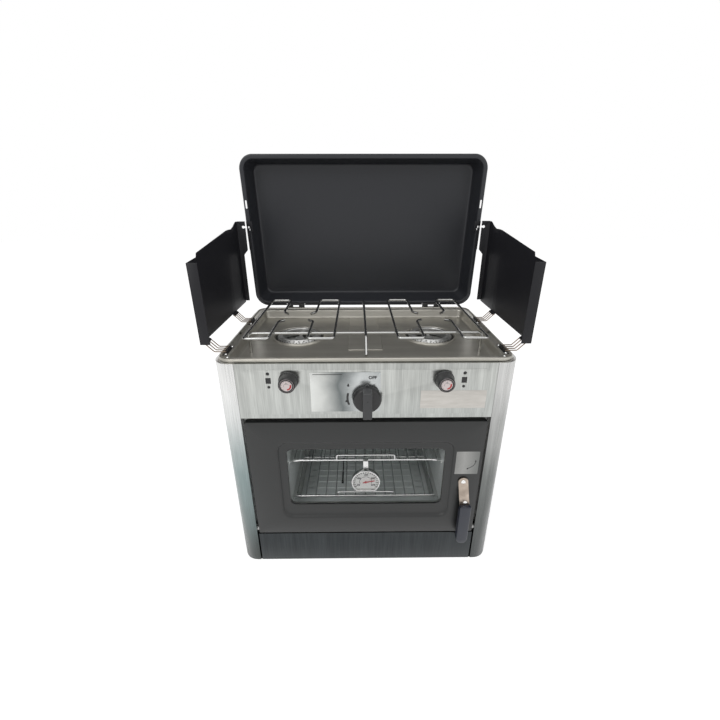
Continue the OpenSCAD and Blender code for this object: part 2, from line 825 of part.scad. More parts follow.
module shield_brackets() {
    plate_x = 7.4;
    margin = 9;
    color(black) for (s = [-1, 1], y0 = [link_front, link_rear]) difference() {
        union() {
            translate([s * link_in_x - plate_x / 2, front + y0 - margin, shelf_z])
                cube([plate_x, link_w + 2 * margin, sheet]);
            link_knuckles(s * link_in_x, link_in_z, front + y0);
            // Necks between the plate and the knuckles
            for (i = [0 : 2]) translate([s * link_in_x - 1.2,
                front + y0 + link_pitch * (i + 0.5) - (link_pitch - 2 * link_r - 1.2) / 2, shelf_z + sheet / 2])
                cube([2.4, link_pitch - 2 * link_r - 1.2, link_in_z - shelf_z - sheet / 2]);
        }
        translate([s * link_in_x, front + y0 - 20, link_in_z]) rotate([-90, 0, 0])
            cylinder(r = link_r + fit, h = link_w + 40);
    }
}

module link(side) {
    color([0.62, 0.52, 0.42]) for (y0 = [link_front, link_rear]) {
        a = [side * link_in_x, front + y0, link_in_z];
        b = [side * link_crank_x, front + y0, link_in_z];
        c = [side * link_out_x, front + y0, link_out_z];
        rod(a - [0, link_r, 0], a + [0, link_w + link_r, 0], link_r);
        rod(c - [0, link_r, 0], c + [0, link_w + link_r, 0], link_r);
        for (i = [0 : 3]) {
            d = [0, i * link_pitch, 0];
            rod(a + d, b + d + [side * 0.6, 0, 0], link_r - 0.1);
            rod(b + d - 0.04 * (c - b), c + d, link_r - 0.16);
        }
    }
}

module link_left() { link(-1); }
module link_right() { link(1); }

// Side view of a shield's plate, from its front edge
module shield_profile() {
    d = shield_rear - shield_front;
    step_y = 41;
    polygon([[0, 0], [d, 0], [d, shield_h_tab], [d - 11, shield_h_tab - 1],
        [d - 30, shield_h_rear + 4], [d - 46, shield_h_rear], [d - 62, shield_h_rear + 0.5],
        [d - 78, shield_h_rear], [step_y + 3, shield_h_front + 3 + shield_step], [step_y, shield_h_front + 3],
        [0, shield_h_front]]);
}

module shield(side) {
    y0 = front + shield_front;
    y1 = front + shield_rear;
    tab_w = shield_x - tab_edge;
    taper = 13;
    mirrored(side) color(black) difference() {
        union() {
            translate([shield_x - sheet, y0, shield_z]) rotate([90, 0, 90])
                linear_extrude(sheet) shield_profile();
            translate([shield_x - shield_flange, y0, shield_z])
                cube([shield_flange, sheet, shield_h_front]);
            translate([shield_x - shield_rear_flange, y1 - sheet, shield_z + 3])
                cube([shield_rear_flange, sheet, shield_h_tab - 4]);
            // Hook tab that meets the lid's catch
            translate([0, 0, shield_z + shield_h_tab]) upright(y1 - sheet, sheet)
                polygon([[shield_x - 2, 0], [tab_edge, 0], [tab_edge, -tab_h + 2],
                    [tab_edge + taper, -tab_h - taper], [shield_x - 2, -tab_h - taper]]);
            link_knuckles(link_out_x, link_out_z, front + link_front);
            link_knuckles(link_out_x, link_out_z, front + link_rear);
            for (y = [link_front, link_rear], i = [0 : 2])
                translate([link_out_x + 0.4, front + y + link_pitch * (i + 0.5)
                    - (link_pitch - 2 * link_r - 1.2) / 2, link_out_z])
                    cube([barrel_r + sheet - 0.4, link_pitch - 2 * link_r - 1.2, barrel_r + 1]);
        }
        for (y = [link_front, link_rear]) translate([link_out_x, front + y - 20, link_out_z])
            rotate([-90, 0, 0]) cylinder(r = link_r + fit, h = link_w + 40);
        // Eye of the hook
        translate([tab_edge + 4.5, y1 - 5, shield_z + shield_h_tab - 12]) rotate([-90, 0, 0])
            cylinder(r = 3, h = 10);
        translate([tab_edge - 1, y1 - 5, shield_z + shield_h_tab - 14]) cube([6, 10, 4]);
    }
}

module shield_left() { shield(-1); }
module shield_right() { shield(1); }

// Lid, built closed over its hinge axis and then leaned
module lid_place() {
    translate([0, hinge_y, hinge_z]) rotate([lid_lean, 0, 0]) children();
}

module lid_block(inset, low, high, slope) {
    mid = lid_len / 2 - lid_edge;
    hull() {
        translate([0, 0, mid]) upright(low, 0.01)
            rrect(lid_w - 2 * inset, lid_len - 2 * inset, lid_r - inset);
        translate([0, 0, mid]) upright(high, 0.01)
            rrect(lid_w - 2 * inset - 2 * slope, lid_len - 2 * inset - 2 * slope,
                max(lid_r - inset - slope / 3, 6));
    }
}

module lid() {
    mid = lid_len / 2 - lid_edge;
    y0 = -hinge_back;
    lip = 4.5;
    color(black) lid_place() difference() {
        union() {
            translate([0, 0, mid]) upright(y0, lid_skin) rrect(lid_w, lid_len, lid_r);
            translate([0, 0, mid]) upright(y0, lip) difference() {
                rrect(lid_w, lid_len, lid_r);
                rrect(lid_w - 2 * lid_skin, lid_len - 2 * lid_skin, lid_r - lid_skin);
            }
            lid_block(lid_flange - lid_skin, y0, y0 + lid_depth, lid_draft);
        }
        lid_block(lid_flange, y0 - 0.1, y0 + lid_depth - lid_skin, lid_draft);
        // Hook slots in the side flanges
        for (s = [-1, 1], u = [tab_u + 35, tab_u - 11]) translate([s * (lid_w / 2 - 5.5), 0, u])
            upright(y0 - 2, 5) rrect(3.6, 17, 1.7);
        // Clearance over the fixed hinge knuckles
        for (s = [-1, 1]) translate([s * lid_hinge_x - 1.5 * knuckle_len - 1, y0 - 1, -lid_edge - 1])
            cube([3 * knuckle_len + 2, lip + 3, lid_edge + 1 + knuckle_r + 0.5]);
    }
}

module lid_hinge_flaps() {
    y0 = -hinge_back + lid_skin;
    leaf_h = 6.3;
    color([0.3, 0.3, 0.31]) lid_place() for (s = [-1, 1]) translate([s * lid_hinge_x, 0, 0])
        difference() {
            union() {
                translate([-knuckle_len / 2 + 0.3, 0, 0]) rotate([0, 90, 0])
                    cylinder(r = knuckle_r, h = knuckle_len - 0.6);
                translate([-knuckle_len / 2 + 0.3, y0, 0])
                    cube([knuckle_len - 0.6, 1, 5]);
                translate([-1.4 * knuckle_len, y0, 3.4])
                    cube([2.8 * knuckle_len, 0.9, leaf_h - 3.4]);
            }
            translate([-30, 0, 0]) rotate([0, 90, 0]) cylinder(r = pin_r + fit, h = 60);
        }
}

module lid_hinges() {
    color([0.3, 0.3, 0.31]) for (s = [-1, 1]) translate([s * lid_hinge_x, hinge_y, hinge_z]) {
        rotate([0, 90, 0]) cylinder(r = pin_r, h = 3 * knuckle_len, center = true);
        for (k = [-1, 1]) translate([k * knuckle_len - knuckle_len / 2, 0, 0])
            rotate([0, 90, 0]) cylinder(r = knuckle_r, h = knuckle_len);
        for (k = [-1, 1]) translate([k * knuckle_len - knuckle_len / 2, -hinge_out, -12])
            cube([knuckle_len, 1.2, 12]);
        translate([-1.5 * knuckle_len, -hinge_out, -34]) cube([3 * knuckle_len, 1.2, 28]);
        for (k = [-1, 1]) translate([k * 14, -hinge_out + 1.2, -26]) rotate([-90, 0, 0]) rivet(3.2);
    }
}

module lid_catches() {
    y0 = -hinge_back;
    x0 = lid_w / 2 - 0.3;
    w = 13;
    hi = tab_u;
    t = 1.3;
    color(black) lid_place() for (s = [-1, 1]) mirrored(s) difference() {
        translate([0, 0, hi]) upright(y0 - t, t) polygon([[x0, 0], [x0 - w, 0], [x0 - w, -24],
            [x0 - w + 4, -24], [x0 - w + 4, -15], [x0 - w + 7, -15], [x0 - w + 7, -tab_h + 8],
            [x0, -tab_h + 1]]);
        translate([0, 0, hi - 12]) upright(y0 - t - 1, t + 2)
            polygon([[x0 + 1, 2], [x0 - 6, 2], [x0 - 6, -2], [x0 + 1, -2]]);
    }
}

// Door
module recess_block(grow, y_a, y_b, shrink) {
    z = base + recess_low + recess_h / 2;
    hull() {
        translate([0, 0, z]) upright(y_a, 0.01)
            rrect(2 * recess_x + 2 * grow, recess_h + 2 * grow, 20 + grow);
        translate([0, 0, z]) upright(y_b, 0.01)
            rrect(2 * recess_x + 2 * grow - 2 * shrink, recess_h + 2 * grow - 2 * shrink, 17 + grow);
    }
}

module door_skin() {
    z_mid = base + door_low + door_h / 2;
    low = base + door_low;
    wall = 3;
    color(black) difference() {
        union() {
            translate([0, 0, z_mid]) upright(front, sheet) rrect(door_w, door_h, 3);
            translate([0, 0, z_mid]) upright(front, door_t - 3) difference() {
                rrect(door_w, door_h, 3);
                rrect(door_w - 2 * sheet, door_h - 2 * sheet, 2.2);
            }
            recess_block(sheet, front, front + recess_d + sheet, wall);
        }
        recess_block(0, front - 0.1, front + recess_d, wall);
        translate([0, 0, base + window_low + window_h / 2]) upright(front - 1, 12)
            rrect(2 * window_x, window_h, 12);
        hole_at(latch_x, latch_h, spindle_r + 1);
        // Clearance for the hinge pins
        translate([-door_w, door_y, door_z]) rotate([0, 90, 0]) cylinder(r = door_pin_r + 0.6, h = 2 * door_w);
    }
}

module door_liner() {
    w = door_w - 2 * sheet - 1;
    low = base + door_low + 1.8;
    h = door_top - low - 2;
    open_x = window_x + 1;
    open_h = window_h + 2;
    z_win = base + window_low + window_h / 2;
    plate_y = front + door_t - sheet;
    boss_len = 8;
    color([0.5, 0.5, 0.5]) difference() {
        union() {
            translate([0, 0, low + h / 2]) upright(plate_y, sheet) rrect(w, h, 3);
            translate([0, 0, z_win]) upright(glass_y + glass_t, plate_y - glass_y - glass_t)
                rrect(2 * open_x + 4, open_h + 4, 13);
            for (s = [-1, 1]) {
                translate([s * (w / 2 - boss_len / 2), door_y, door_z]) rotate([0, 90, 0])
                    cylinder(r = 4.6, h = boss_len, center = true);
                translate([s * (w / 2 - boss_len / 2) - boss_len / 2, door_y, door_z - 3])
                    cube([boss_len, plate_y - door_y + sheet / 2, 6]);
            }
            // Boss of the latch spindle
            translate([latch_x, front + 2, latch_h]) rotate([-90, 0, 0])
                cylinder(r = 9, h = plate_y - front - 1.5);
        }
        translate([0, 0, z_win]) upright(front, 30) rrect(2 * open_x, open_h, 12);
        translate([-door_w, door_y, door_z]) rotate([0, 90, 0]) cylinder(r = door_pin_r + fit, h = 2 * door_w);
        translate([latch_x, front, latch_h]) rotate([-90, 0, 0]) cylinder(r = spindle_r + fit, h = 30);
    }
}

module door_pins() {
    inner = door_w / 2 - 9;
    color(bright) for (s = [-1, 1]) {
        translate([s > 0 ? inner : -panel_x, door_y, door_z]) rotate([0, 90, 0])
            cylinder(r = door_pin_r, h = panel_x - inner);
        translate([s > 0 ? door_w / 2 + 0.8 : -panel_x, door_y, door_z]) rotate([0, 90, 0])
            cylinder(r = door_pin_r + 2, h = panel_x - door_w / 2 - 0.8);
    }
}

module door_glass() {
    color([0.5, 0.55, 0.55, 0.35]) translate([0, 0, base + window_low + window_h / 2])
        upright(glass_y, glass_t) rrect(2 * window_x + 12, window_h + 12, 14);
}

module door_gasket() {
    z = base + liner_low + liner_h / 2;
    y = front + door_t;
    g = 2.4;
    color([0.15, 0.15, 0.15]) translate([0, 0, z]) upright(y, g) difference() {
        rrect(2 * liner_x + 14, liner_h + 14, 12);
        rrect(2 * liner_x + 2, liner_h + 2, 6);
    }
}

module latch_plate() {
    color(bright) translate([latch_x + 3.5, 0, latch_h + 43]) upright(front - plate_t, plate_t)
        rrect(44, 52, 1.5);
}

module latch_strap() {
    end_x = 6;
    y = strap_y;
    slope_z = 14;
    t = strap_t;
    r = strap_w / 2;
    color([0.75, 0.68, 0.6]) difference() {
        union() {
            // Upper flat, cranked middle and lower flat
            translate([latch_x, y + t, latch_h]) rotate([90, 0, 0]) cylinder(r = r, h = t);
            translate([latch_x, 0, latch_h]) upright(y, t)
                polygon([[-r, 0], [r, 0], [r + 2, -slope_z], [-r + 2, -slope_z]]);
            translate([latch_x + 2, y, latch_h - slope_z]) rotate([90, 0, 90])
                translate([0, 0, -r]) linear_extrude(strap_w)
                polygon([[0, 0.4], [t, 0.4], [t - standoff, -slope_z], [-standoff, -slope_z]]);
            translate([latch_x + 2, 0, latch_h - 2 * slope_z]) upright(y - standoff, t)
                polygon([[-r, 0.2], [r, 0.2], [r + end_x - 2, slope_z * 2 - strap_len - r],
                    [-r + end_x - 2, slope_z * 2 - strap_len - r]]);
        }
        translate([latch_x, y - 2, latch_h]) rotate([-90, 0, 0]) cylinder(r = 3, h = 8);
        translate([latch_x + end_x, y - standoff - 2, latch_h - strap_len]) rotate([-90, 0, 0])
            cylinder(r = 2.1, h = 8);
    }
}

module latch_grip() {
    x = latch_x + 6;
    z1 = latch_h - strap_len - 4.6;
    y = strap_y - standoff - grip_t + 5;
    r = grip_w / 2;
    color([0.14, 0.16, 0.22]) difference() {
        union() {
            translate([x - r, y, z1 - grip_len + r]) cube([grip_w, grip_t, grip_len - r]);
            translate([x, y + grip_t, z1 - grip_len + r]) rotate([90, 0, 0]) cylinder(r = r, h = grip_t);
        }
        // Socket of the strap's end, open at the back edge of the grip's top
        translate([x - r - 1, strap_y - standoff - 0.1, z1 - r + 0.4])
            cube([grip_w + 2, grip_t, r + 1]);
    }
}

module latch_spindle() {
    reach = keeper_reach;
    color(bright) {
        translate([latch_x, strap_y + strap_t, latch_h]) rotate([-90, 0, 0])
            cylinder(r = spindle_r, h = tongue_y + 2.5 - strap_y - strap_t);
        translate([latch_x, tongue_y, latch_h]) rotate([-90, 0, 0]) cylinder(r = 5.5, h = 2.5);
        translate([latch_x, tongue_y, latch_h - 4]) cube([reach, 2.5, 8]);
    }
}

module latch_rivets() {
    color(bright) {
        translate([latch_x, strap_y, latch_h]) rotate([90, 0, 0]) rivet(4.5);
        translate([latch_x, strap_y + strap_t, latch_h]) rotate([90, 0, 0])
            cylinder(r = 2.95, h = strap_t);
        translate([latch_x + 6, strap_y - standoff, latch_h - strap_len]) rotate([90, 0, 0]) rivet(4.2);
        translate([latch_x + 6, strap_y - standoff + strap_t, latch_h - strap_len]) rotate([90, 0, 0])
            cylinder(r = 2, h = strap_t);
    }
}

module latch_keeper() {
    x = latch_x + keeper_reach - 12;
    y = frame_y + sheet;
    color(steel) {
        translate([x, y, latch_h - 4.4 - 1.6]) cube([11, 12, 1.6]);
        translate([x, y, latch_h - 22]) cube([11, 1.2, 17]);
    }
}

// Racks
module rack(z, bar_lift) {
    x = rack_x;
    y1 = rack_y;
    y2 = rack_y + rack_d;
    half = (rack_wires - 1) / 2;
    over = rack_r + rack_thin - rack_sink;
    bar = 2.8 * rack_pitch;
    color(bright) {
        wire([[-x, y1, z], [x, y1, z], [x, y2, z], [-x, y2, z], [-x, y1, z]], rack_r);
        translate([-x, y1, z]) sphere(r = rack_r, $fn = 24);
        for (i = [-half : half])
            rod([i * rack_pitch, y1 - 1.2, z + over], [i * rack_pitch, y2 + 0.8, z + over], rack_thin);
        rod([-x, (y1 + y2) / 2, z], [x, (y1 + y2) / 2, z], rack_r * 0.95);
        wire([[-bar, y1, z + 1], [-bar, y1 + 2, z + bar_lift], [bar, y1 + 2, z + bar_lift],
            [bar, y1, z + 1]], rack_r * 0.8);
    }
}

module rack_upper() { rack(base + rack_up, 10); }
module rack_lower() { rack(base + rack_low, 8); }

// Thermometer outline with its flat bottom
module thermo_outline(r) {
    intersection() {
        circle(r = r, $fn = 72);
        translate([-r, -0.77 * thermo_r - (r - thermo_r)]) square([2 * r, 2 * r]);
    }
}

module thermometer_case() {
    strap_top = base + rack_up + rack_r + 1.2;
    fork = 2 * rack_thin + 1.4;
    color(bright) {
        translate([0, 0, thermo_z]) difference() {
            upright(thermo_y - thermo_t, thermo_t) thermo_outline(thermo_r);
            upright(thermo_y - thermo_t - 1, thermo_t - 2) thermo_outline(thermo_r - 2);
        }
        // Strap and the hook over the rack's front wire
        translate([-5, thermo_y, thermo_z]) cube([10, 1, strap_top - thermo_z]);
        difference() {
            union() {
                translate([-5, thermo_y, strap_top - 1])
                    cube([10, rack_y + rack_r + 1.2 - thermo_y, 1]);
                translate([-5, rack_y + rack_r + 0.3, strap_top - 3]) cube([10, 0.9, 3]);
            }
            // Fork over the rack's middle wire
            translate([-fork / 2, rack_y - 3, strap_top - 4]) cube([fork, 12, 6]);
        }
    }
}

module thermometer_dial() {
    color([0.93, 0.93, 0.9]) translate([0, 0, thermo_z])
        upright(thermo_y - 3.5, 0.5) thermo_outline(thermo_r - 2.3);
}

module thermometer_needle() {
    color([0.7, 0.1, 0.12]) translate([0, thermo_y - 5, thermo_z - 3]) {
        rotate([90, 0, 0]) cylinder(r = 2, h = 1.4);
        rotate([-90, 0, 0]) cylinder(r = 0.8, h = 1.5, $fn = 24);
        rotate([0, -12, 0]) translate([-6, -1.2, -0.8]) cube([24, 0.8, 1.6]);
    }
}

module thermometer_lens() {
    color([0.8, 0.85, 0.85, 0.3]) translate([0, 0, thermo_z])
        upright(thermo_y - thermo_t + 0.4, 1) thermo_outline(thermo_r - 2.1);
}

// Controls
module stem(x, z) {
    color(bright) translate([x, stem_out, z]) rotate([-90, 0, 0])
        cylinder(r = stem_r, h = stem_in + 4 - stem_out);
}

module stem_left() { stem(-knob_x, base + knob_z); }
module stem_right() { stem(knob_x, base + knob_z); }
module stem_oven() { stem(oven_knob_x, base + oven_knob_z); }

module small_knob(x) {
    r = knob_r;
    d = knob_depth;
    ribs = 24;
    color(black) translate([x, knob_back, base + knob_z]) rotate([90, 0, 0]) difference() {
        rotate_extrude($fn = 72) polygon([[0, 0], [r, 0], [r, 3], [r - 0.8, 4], [r - 2.6, d - 1.5],
            [r - 3.4, d], [r - 4.4, d], [r - 4.4, d - 1.2], [0, d - 1.2]]);
        for (i = [0 : ribs - 1]) rotate(i * 360 / ribs) translate([r - 0.6, 0, 4.5])
            cylinder(r = 0.9, h = d, $fn = 12);
        translate([0, 0, -1]) cylinder(r = stem_r + fit, h = 1 + knob_back - stem_out + push + 0.5);
    }
}

module knob_left() { small_knob(-knob_x); }
module knob_right() { small_knob(knob_x); }

module small_dial(x) {
    color([0.93, 0.92, 0.9]) translate([x, knob_back - knob_depth + 1.2, base + knob_z])
        rotate([90, 0, 0]) cylinder(r = knob_r - 4.6, h = 1, $fn = 72);
}

module dial_left() { small_dial(-knob_x); }
module dial_right() { small_dial(knob_x); }

module knob_oven() {
    r = oven_knob_r;
    bar_w = 16;
    bar_d = 28;
    color([0.2, 0.2, 0.21]) translate([oven_knob_x, knob_back, base + oven_knob_z]) rotate([90, 0, 0])
        difference() {
            union() {
                rotate_extrude($fn = 72) polygon([[0, 0], [r, 0], [r, 2.5], [r - 1, 4], [r - 2.4, 9],
                    [r - 3.4, 10], [0, 10.5]]);
                translate([0, r - 1, 0]) cylinder(r = 3.5, h = 4);
                translate([-bar_w / 2, -r - 1, 8]) cube([bar_w, 2 * r, bar_d - 8 - 3]);
                // Rounded crest of the bar
                for (s = [-1, 1]) translate([s * (bar_w / 2 - 3), r - 1, bar_d - 3]) rotate([90, 0, 0])
                    cylinder(r = 3, h = 2 * r, $fn = 32);
                translate([-bar_w / 2 + 3, -r - 1, bar_d - 5]) cube([bar_w - 6, 2 * r, 5]);
            }
            translate([0, 0, -1]) cylinder(r = stem_r + fit, h = 1 + knob_back - stem_out + push + 0.5);
        }
}

module dial_plate() {
    x1 = 19 + knob_r - knob_x;
    x2 = oven_knob_x + 22.7;
    color(bright) difference() {
        translate([(x1 + x2) / 2, 0, fascia_low + fascia_h / 2 - 0.75]) upright(face_y - plate_t, plate_t)
            rrect(x2 - x1, fascia_h - 29.5, 1.5);
        hole_at(oven_knob_x, base + oven_knob_z, stem_r + 1);
    }
}

module fascia_fixings() {
    color(black) for (s = [-1, 1]) translate([s * clip_x, 0, base + knob_z]) {
        translate([0, front + sheet, 10.5]) rotate([90, 0, 0]) cylinder(r = 2.8, h = 1);
        translate([-4.2, front + 0.2, -7.7]) cube([8.4, 2.4, 10.4]);
        translate([0, face_y, -14.5]) rotate([90, 0, 0]) rivet(2.6);
        // Clip plate behind the fascia
        translate([-7, front + sheet, -18]) cube([14, 1.4, 34]);
    }
}

side_panel_left();
side_panel_right();
fascia();
kick_panel();
rear_panel();
base_pan();
feet();
face_frame();
oven_liner();
rack_runners();
flame_spreader();
oven_burner();
gas_rail();
burner_valves();
gas_inlet();
hob_pan();
burner_bowls();
burner_rings();
mixing_tubes();
igniters();
pot_supports();
cross_bar();
centre_rod();
rim_rivets();
lid_hinges();
shield_brackets();
latch_keeper();
door_pins();
dial_plate();
fascia_fixings();
lid();
lid_hinge_flaps();
lid_catches();
link_left();
link_right();
shield_left();
shield_right();
door_skin();
door_liner();
door_glass();
door_gasket();
latch_plate();
latch_strap();
latch_grip();
latch_spindle();
latch_rivets();
rack_upper();
thermometer_case();
thermometer_dial();
thermometer_needle();
thermometer_lens();
rack_lower();
stem_left();
knob_left();
stem_right();
knob_right();
stem_oven();
knob_oven();
dial_left();
dial_right();
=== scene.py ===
# Folding camp oven: casing, hob, tray lid, wind shields, glazed door, knobs and racks
import bpy
import bmesh
import json
import math
from mathutils import Matrix, Vector


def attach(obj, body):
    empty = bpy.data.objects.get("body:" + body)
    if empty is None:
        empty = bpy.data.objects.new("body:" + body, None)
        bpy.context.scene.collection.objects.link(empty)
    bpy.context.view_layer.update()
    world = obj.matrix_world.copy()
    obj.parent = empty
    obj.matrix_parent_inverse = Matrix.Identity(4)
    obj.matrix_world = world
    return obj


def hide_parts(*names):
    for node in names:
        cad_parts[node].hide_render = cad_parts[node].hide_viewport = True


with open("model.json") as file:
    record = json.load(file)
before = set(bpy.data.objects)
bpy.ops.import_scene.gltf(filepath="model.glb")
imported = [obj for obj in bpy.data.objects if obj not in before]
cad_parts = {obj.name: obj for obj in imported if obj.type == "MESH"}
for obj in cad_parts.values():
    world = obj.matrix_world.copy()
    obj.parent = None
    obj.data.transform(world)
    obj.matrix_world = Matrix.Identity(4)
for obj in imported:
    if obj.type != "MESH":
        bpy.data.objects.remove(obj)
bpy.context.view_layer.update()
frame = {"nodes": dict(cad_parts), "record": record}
nodes = frame["nodes"]
mm = 0.001

# camera, solved from the photograph, in millimetres and degrees
camView = dict(pitch=23.04, yaw=0.5, roll=-0.1, place=(-14.4, -737.7, 718.6), focal=377.9,
               frameSize=720, middle=(360.9, 356.3))


def makeCamera(s):
    data = bpy.data.cameras.new("photoCamera")
    cam = bpy.data.objects.new("photoCamera", data)
    bpy.context.collection.objects.link(cam)
    data.sensor_width = 36
    data.lens = s["focal"] / s["frameSize"] * 36
    data.shift_x = -(s["middle"][0] - s["frameSize"] / 2) / s["frameSize"]
    data.shift_y = (s["middle"][1] - s["frameSize"] / 2) / s["frameSize"]
    data.clip_start = 0.02
    data.clip_end = 50
    pitch, yaw = math.radians(s["pitch"]), math.radians(s["yaw"])
    look = Vector((math.sin(yaw) * math.cos(pitch), math.cos(yaw) * math.cos(pitch), -math.sin(pitch)))
    cam.rotation_mode = "QUATERNION"
    turn = look.to_track_quat("-Z", "Y").to_matrix() @ Matrix.Rotation(math.radians(s["roll"]), 3, "Z")
    cam.rotation_quaternion = turn.to_quaternion()
    cam.location = Vector(s["place"]) * mm
    bpy.context.scene.camera = cam


makeCamera(camView)
print("camera placed")


# shader helpers

def newMaterial(name):
    mat = bpy.data.materials.new(name)
    mat.use_nodes = True
    return mat, mat.node_tree, mat.node_tree.nodes["Principled BSDF"]


def addNode(tree, kind, **values):
    node = tree.nodes.new(kind)
    for key, value in values.items():
        if hasattr(node, key):
            setattr(node, key, value)
        else:
            node.inputs[key].default_value = value
    return node


def plainFinish(name, colour, rough, metal=0.0, coat=0.0, specular=0.5):
    mat, _, shader = newMaterial(name)
    shader.inputs["Base Color"].default_value = (*colour, 1)
    shader.inputs["Roughness"].default_value = rough
    shader.inputs["Metallic"].default_value = metal
    shader.inputs["Coat Weight"].default_value = coat
    shader.inputs["Coat Roughness"].default_value = 0.15
    shader.inputs["Specular IOR Level"].default_value = specular
    return mat


def mottledFinish(name, dark, light, rough, metal, scale=(1, 1, 1), size=30.0, spread=0.08, bump=0.0,
                  detail=4.0, specular=0.5):
    # colour and roughness drift over the surface, stretched by scale for brushed sheet
    mat, tree, shader = newMaterial(name)
    coord = addNode(tree, "ShaderNodeTexCoord")
    place = addNode(tree, "ShaderNodeMapping")
    place.inputs["Scale"].default_value = scale
    tree.links.new(coord.outputs["Object"], place.inputs["Vector"])
    noise = addNode(tree, "ShaderNodeTexNoise", Scale=size, Detail=detail, Roughness=0.6)
    tree.links.new(place.outputs["Vector"], noise.inputs["Vector"])
    ramp = addNode(tree, "ShaderNodeValToRGB")
    ramp.color_ramp.elements[0].position = 0.3
    ramp.color_ramp.elements[1].position = 0.7
    ramp.color_ramp.elements[0].color = (*dark, 1)
    ramp.color_ramp.elements[1].color = (*light, 1)
    tree.links.new(noise.outputs["Fac"], ramp.inputs["Fac"])
    tree.links.new(ramp.outputs["Color"], shader.inputs["Base Color"])
    mix = addNode(tree, "ShaderNodeMapRange")
    mix.inputs["To Min"].default_value = rough - spread
    mix.inputs["To Max"].default_value = rough + spread
    tree.links.new(noise.outputs["Fac"], mix.inputs["Value"])
    tree.links.new(mix.outputs["Result"], shader.inputs["Roughness"])
    shader.inputs["Metallic"].default_value = metal
    shader.inputs["Specular IOR Level"].default_value = specular
    if bump:
        grain = addNode(tree, "ShaderNodeBump", Strength=bump, Distance=0.0004)
        tree.links.new(noise.outputs["Fac"], grain.inputs["Height"])
        tree.links.new(grain.outputs["Normal"], shader.inputs["Normal"])
    return mat


def shellFinish(name, low, middle, high, rough, streaks=70.0, contrast=0.12):
    # satin sheet with fine upright streaks; painted reflection: the colour is lighter higher up and deeper in
    # tone towards the floor
    mat, tree, shader = newMaterial(name)
    coord = addNode(tree, "ShaderNodeTexCoord")
    place = addNode(tree, "ShaderNodeMapping")
    place.inputs["Scale"].default_value = (1, 1, 0.03)
    tree.links.new(coord.outputs["Object"], place.inputs["Vector"])
    broad = addNode(tree, "ShaderNodeTexNoise", Scale=streaks, Detail=3.0, Roughness=0.55)
    fine = addNode(tree, "ShaderNodeTexNoise", Scale=streaks * 9, Detail=2.0, Roughness=0.5)
    drift = addNode(tree, "ShaderNodeTexNoise", Scale=7.0, Detail=2.0)
    tree.links.new(place.outputs["Vector"], broad.inputs["Vector"])
    tree.links.new(place.outputs["Vector"], fine.inputs["Vector"])
    tree.links.new(coord.outputs["Object"], drift.inputs["Vector"])
    split = addNode(tree, "ShaderNodeSeparateXYZ")
    tree.links.new(coord.outputs["Object"], split.inputs[0])
    # painted reflection: height plus a little random drift picks the colour, dark low down and light higher up
    rise = addNode(tree, "ShaderNodeMath", operation="MULTIPLY_ADD")
    rise.inputs[1].default_value = 0.14
    tree.links.new(drift.outputs["Fac"], rise.inputs[0])
    tree.links.new(split.outputs["Z"], rise.inputs[2])
    ramp = addNode(tree, "ShaderNodeValToRGB")
    ramp.color_ramp.elements[0].position = 0.08
    ramp.color_ramp.elements[1].position = 0.50
    ramp.color_ramp.elements[0].color = (*low, 1)
    ramp.color_ramp.elements[1].color = (*high, 1)
    between = ramp.color_ramp.elements.new(0.30)
    between.color = (*middle, 1)
    tree.links.new(rise.outputs[0], ramp.inputs["Fac"])
    both = addNode(tree, "ShaderNodeMath", operation="ADD")
    tree.links.new(broad.outputs["Fac"], both.inputs[0])
    tree.links.new(fine.outputs["Fac"], both.inputs[1])
    tone = addNode(tree, "ShaderNodeMapRange")
    tone.inputs["From Min"].default_value = 0.6
    tone.inputs["From Max"].default_value = 1.4
    tone.inputs["To Min"].default_value = 1 - contrast
    tone.inputs["To Max"].default_value = 1 + contrast
    tree.links.new(both.outputs[0], tone.inputs["Value"])
    tint = addNode(tree, "ShaderNodeVectorMath", operation="SCALE")
    tree.links.new(ramp.outputs["Color"], tint.inputs[0])
    tree.links.new(tone.outputs["Result"], tint.inputs["Scale"])
    tree.links.new(tint.outputs["Vector"], shader.inputs["Base Color"])
    polish = addNode(tree, "ShaderNodeMapRange")
    polish.inputs["To Min"].default_value = rough - 0.06
    polish.inputs["To Max"].default_value = rough + 0.08
    tree.links.new(broad.outputs["Fac"], polish.inputs["Value"])
    tree.links.new(polish.outputs["Result"], shader.inputs["Roughness"])
    shader.inputs["Metallic"].default_value = 0.85
    grain = addNode(tree, "ShaderNodeBump", Strength=0.06, Distance=0.0003)
    tree.links.new(fine.outputs["Fac"], grain.inputs["Height"])
    tree.links.new(grain.outputs["Normal"], shader.inputs["Normal"])
    return mat


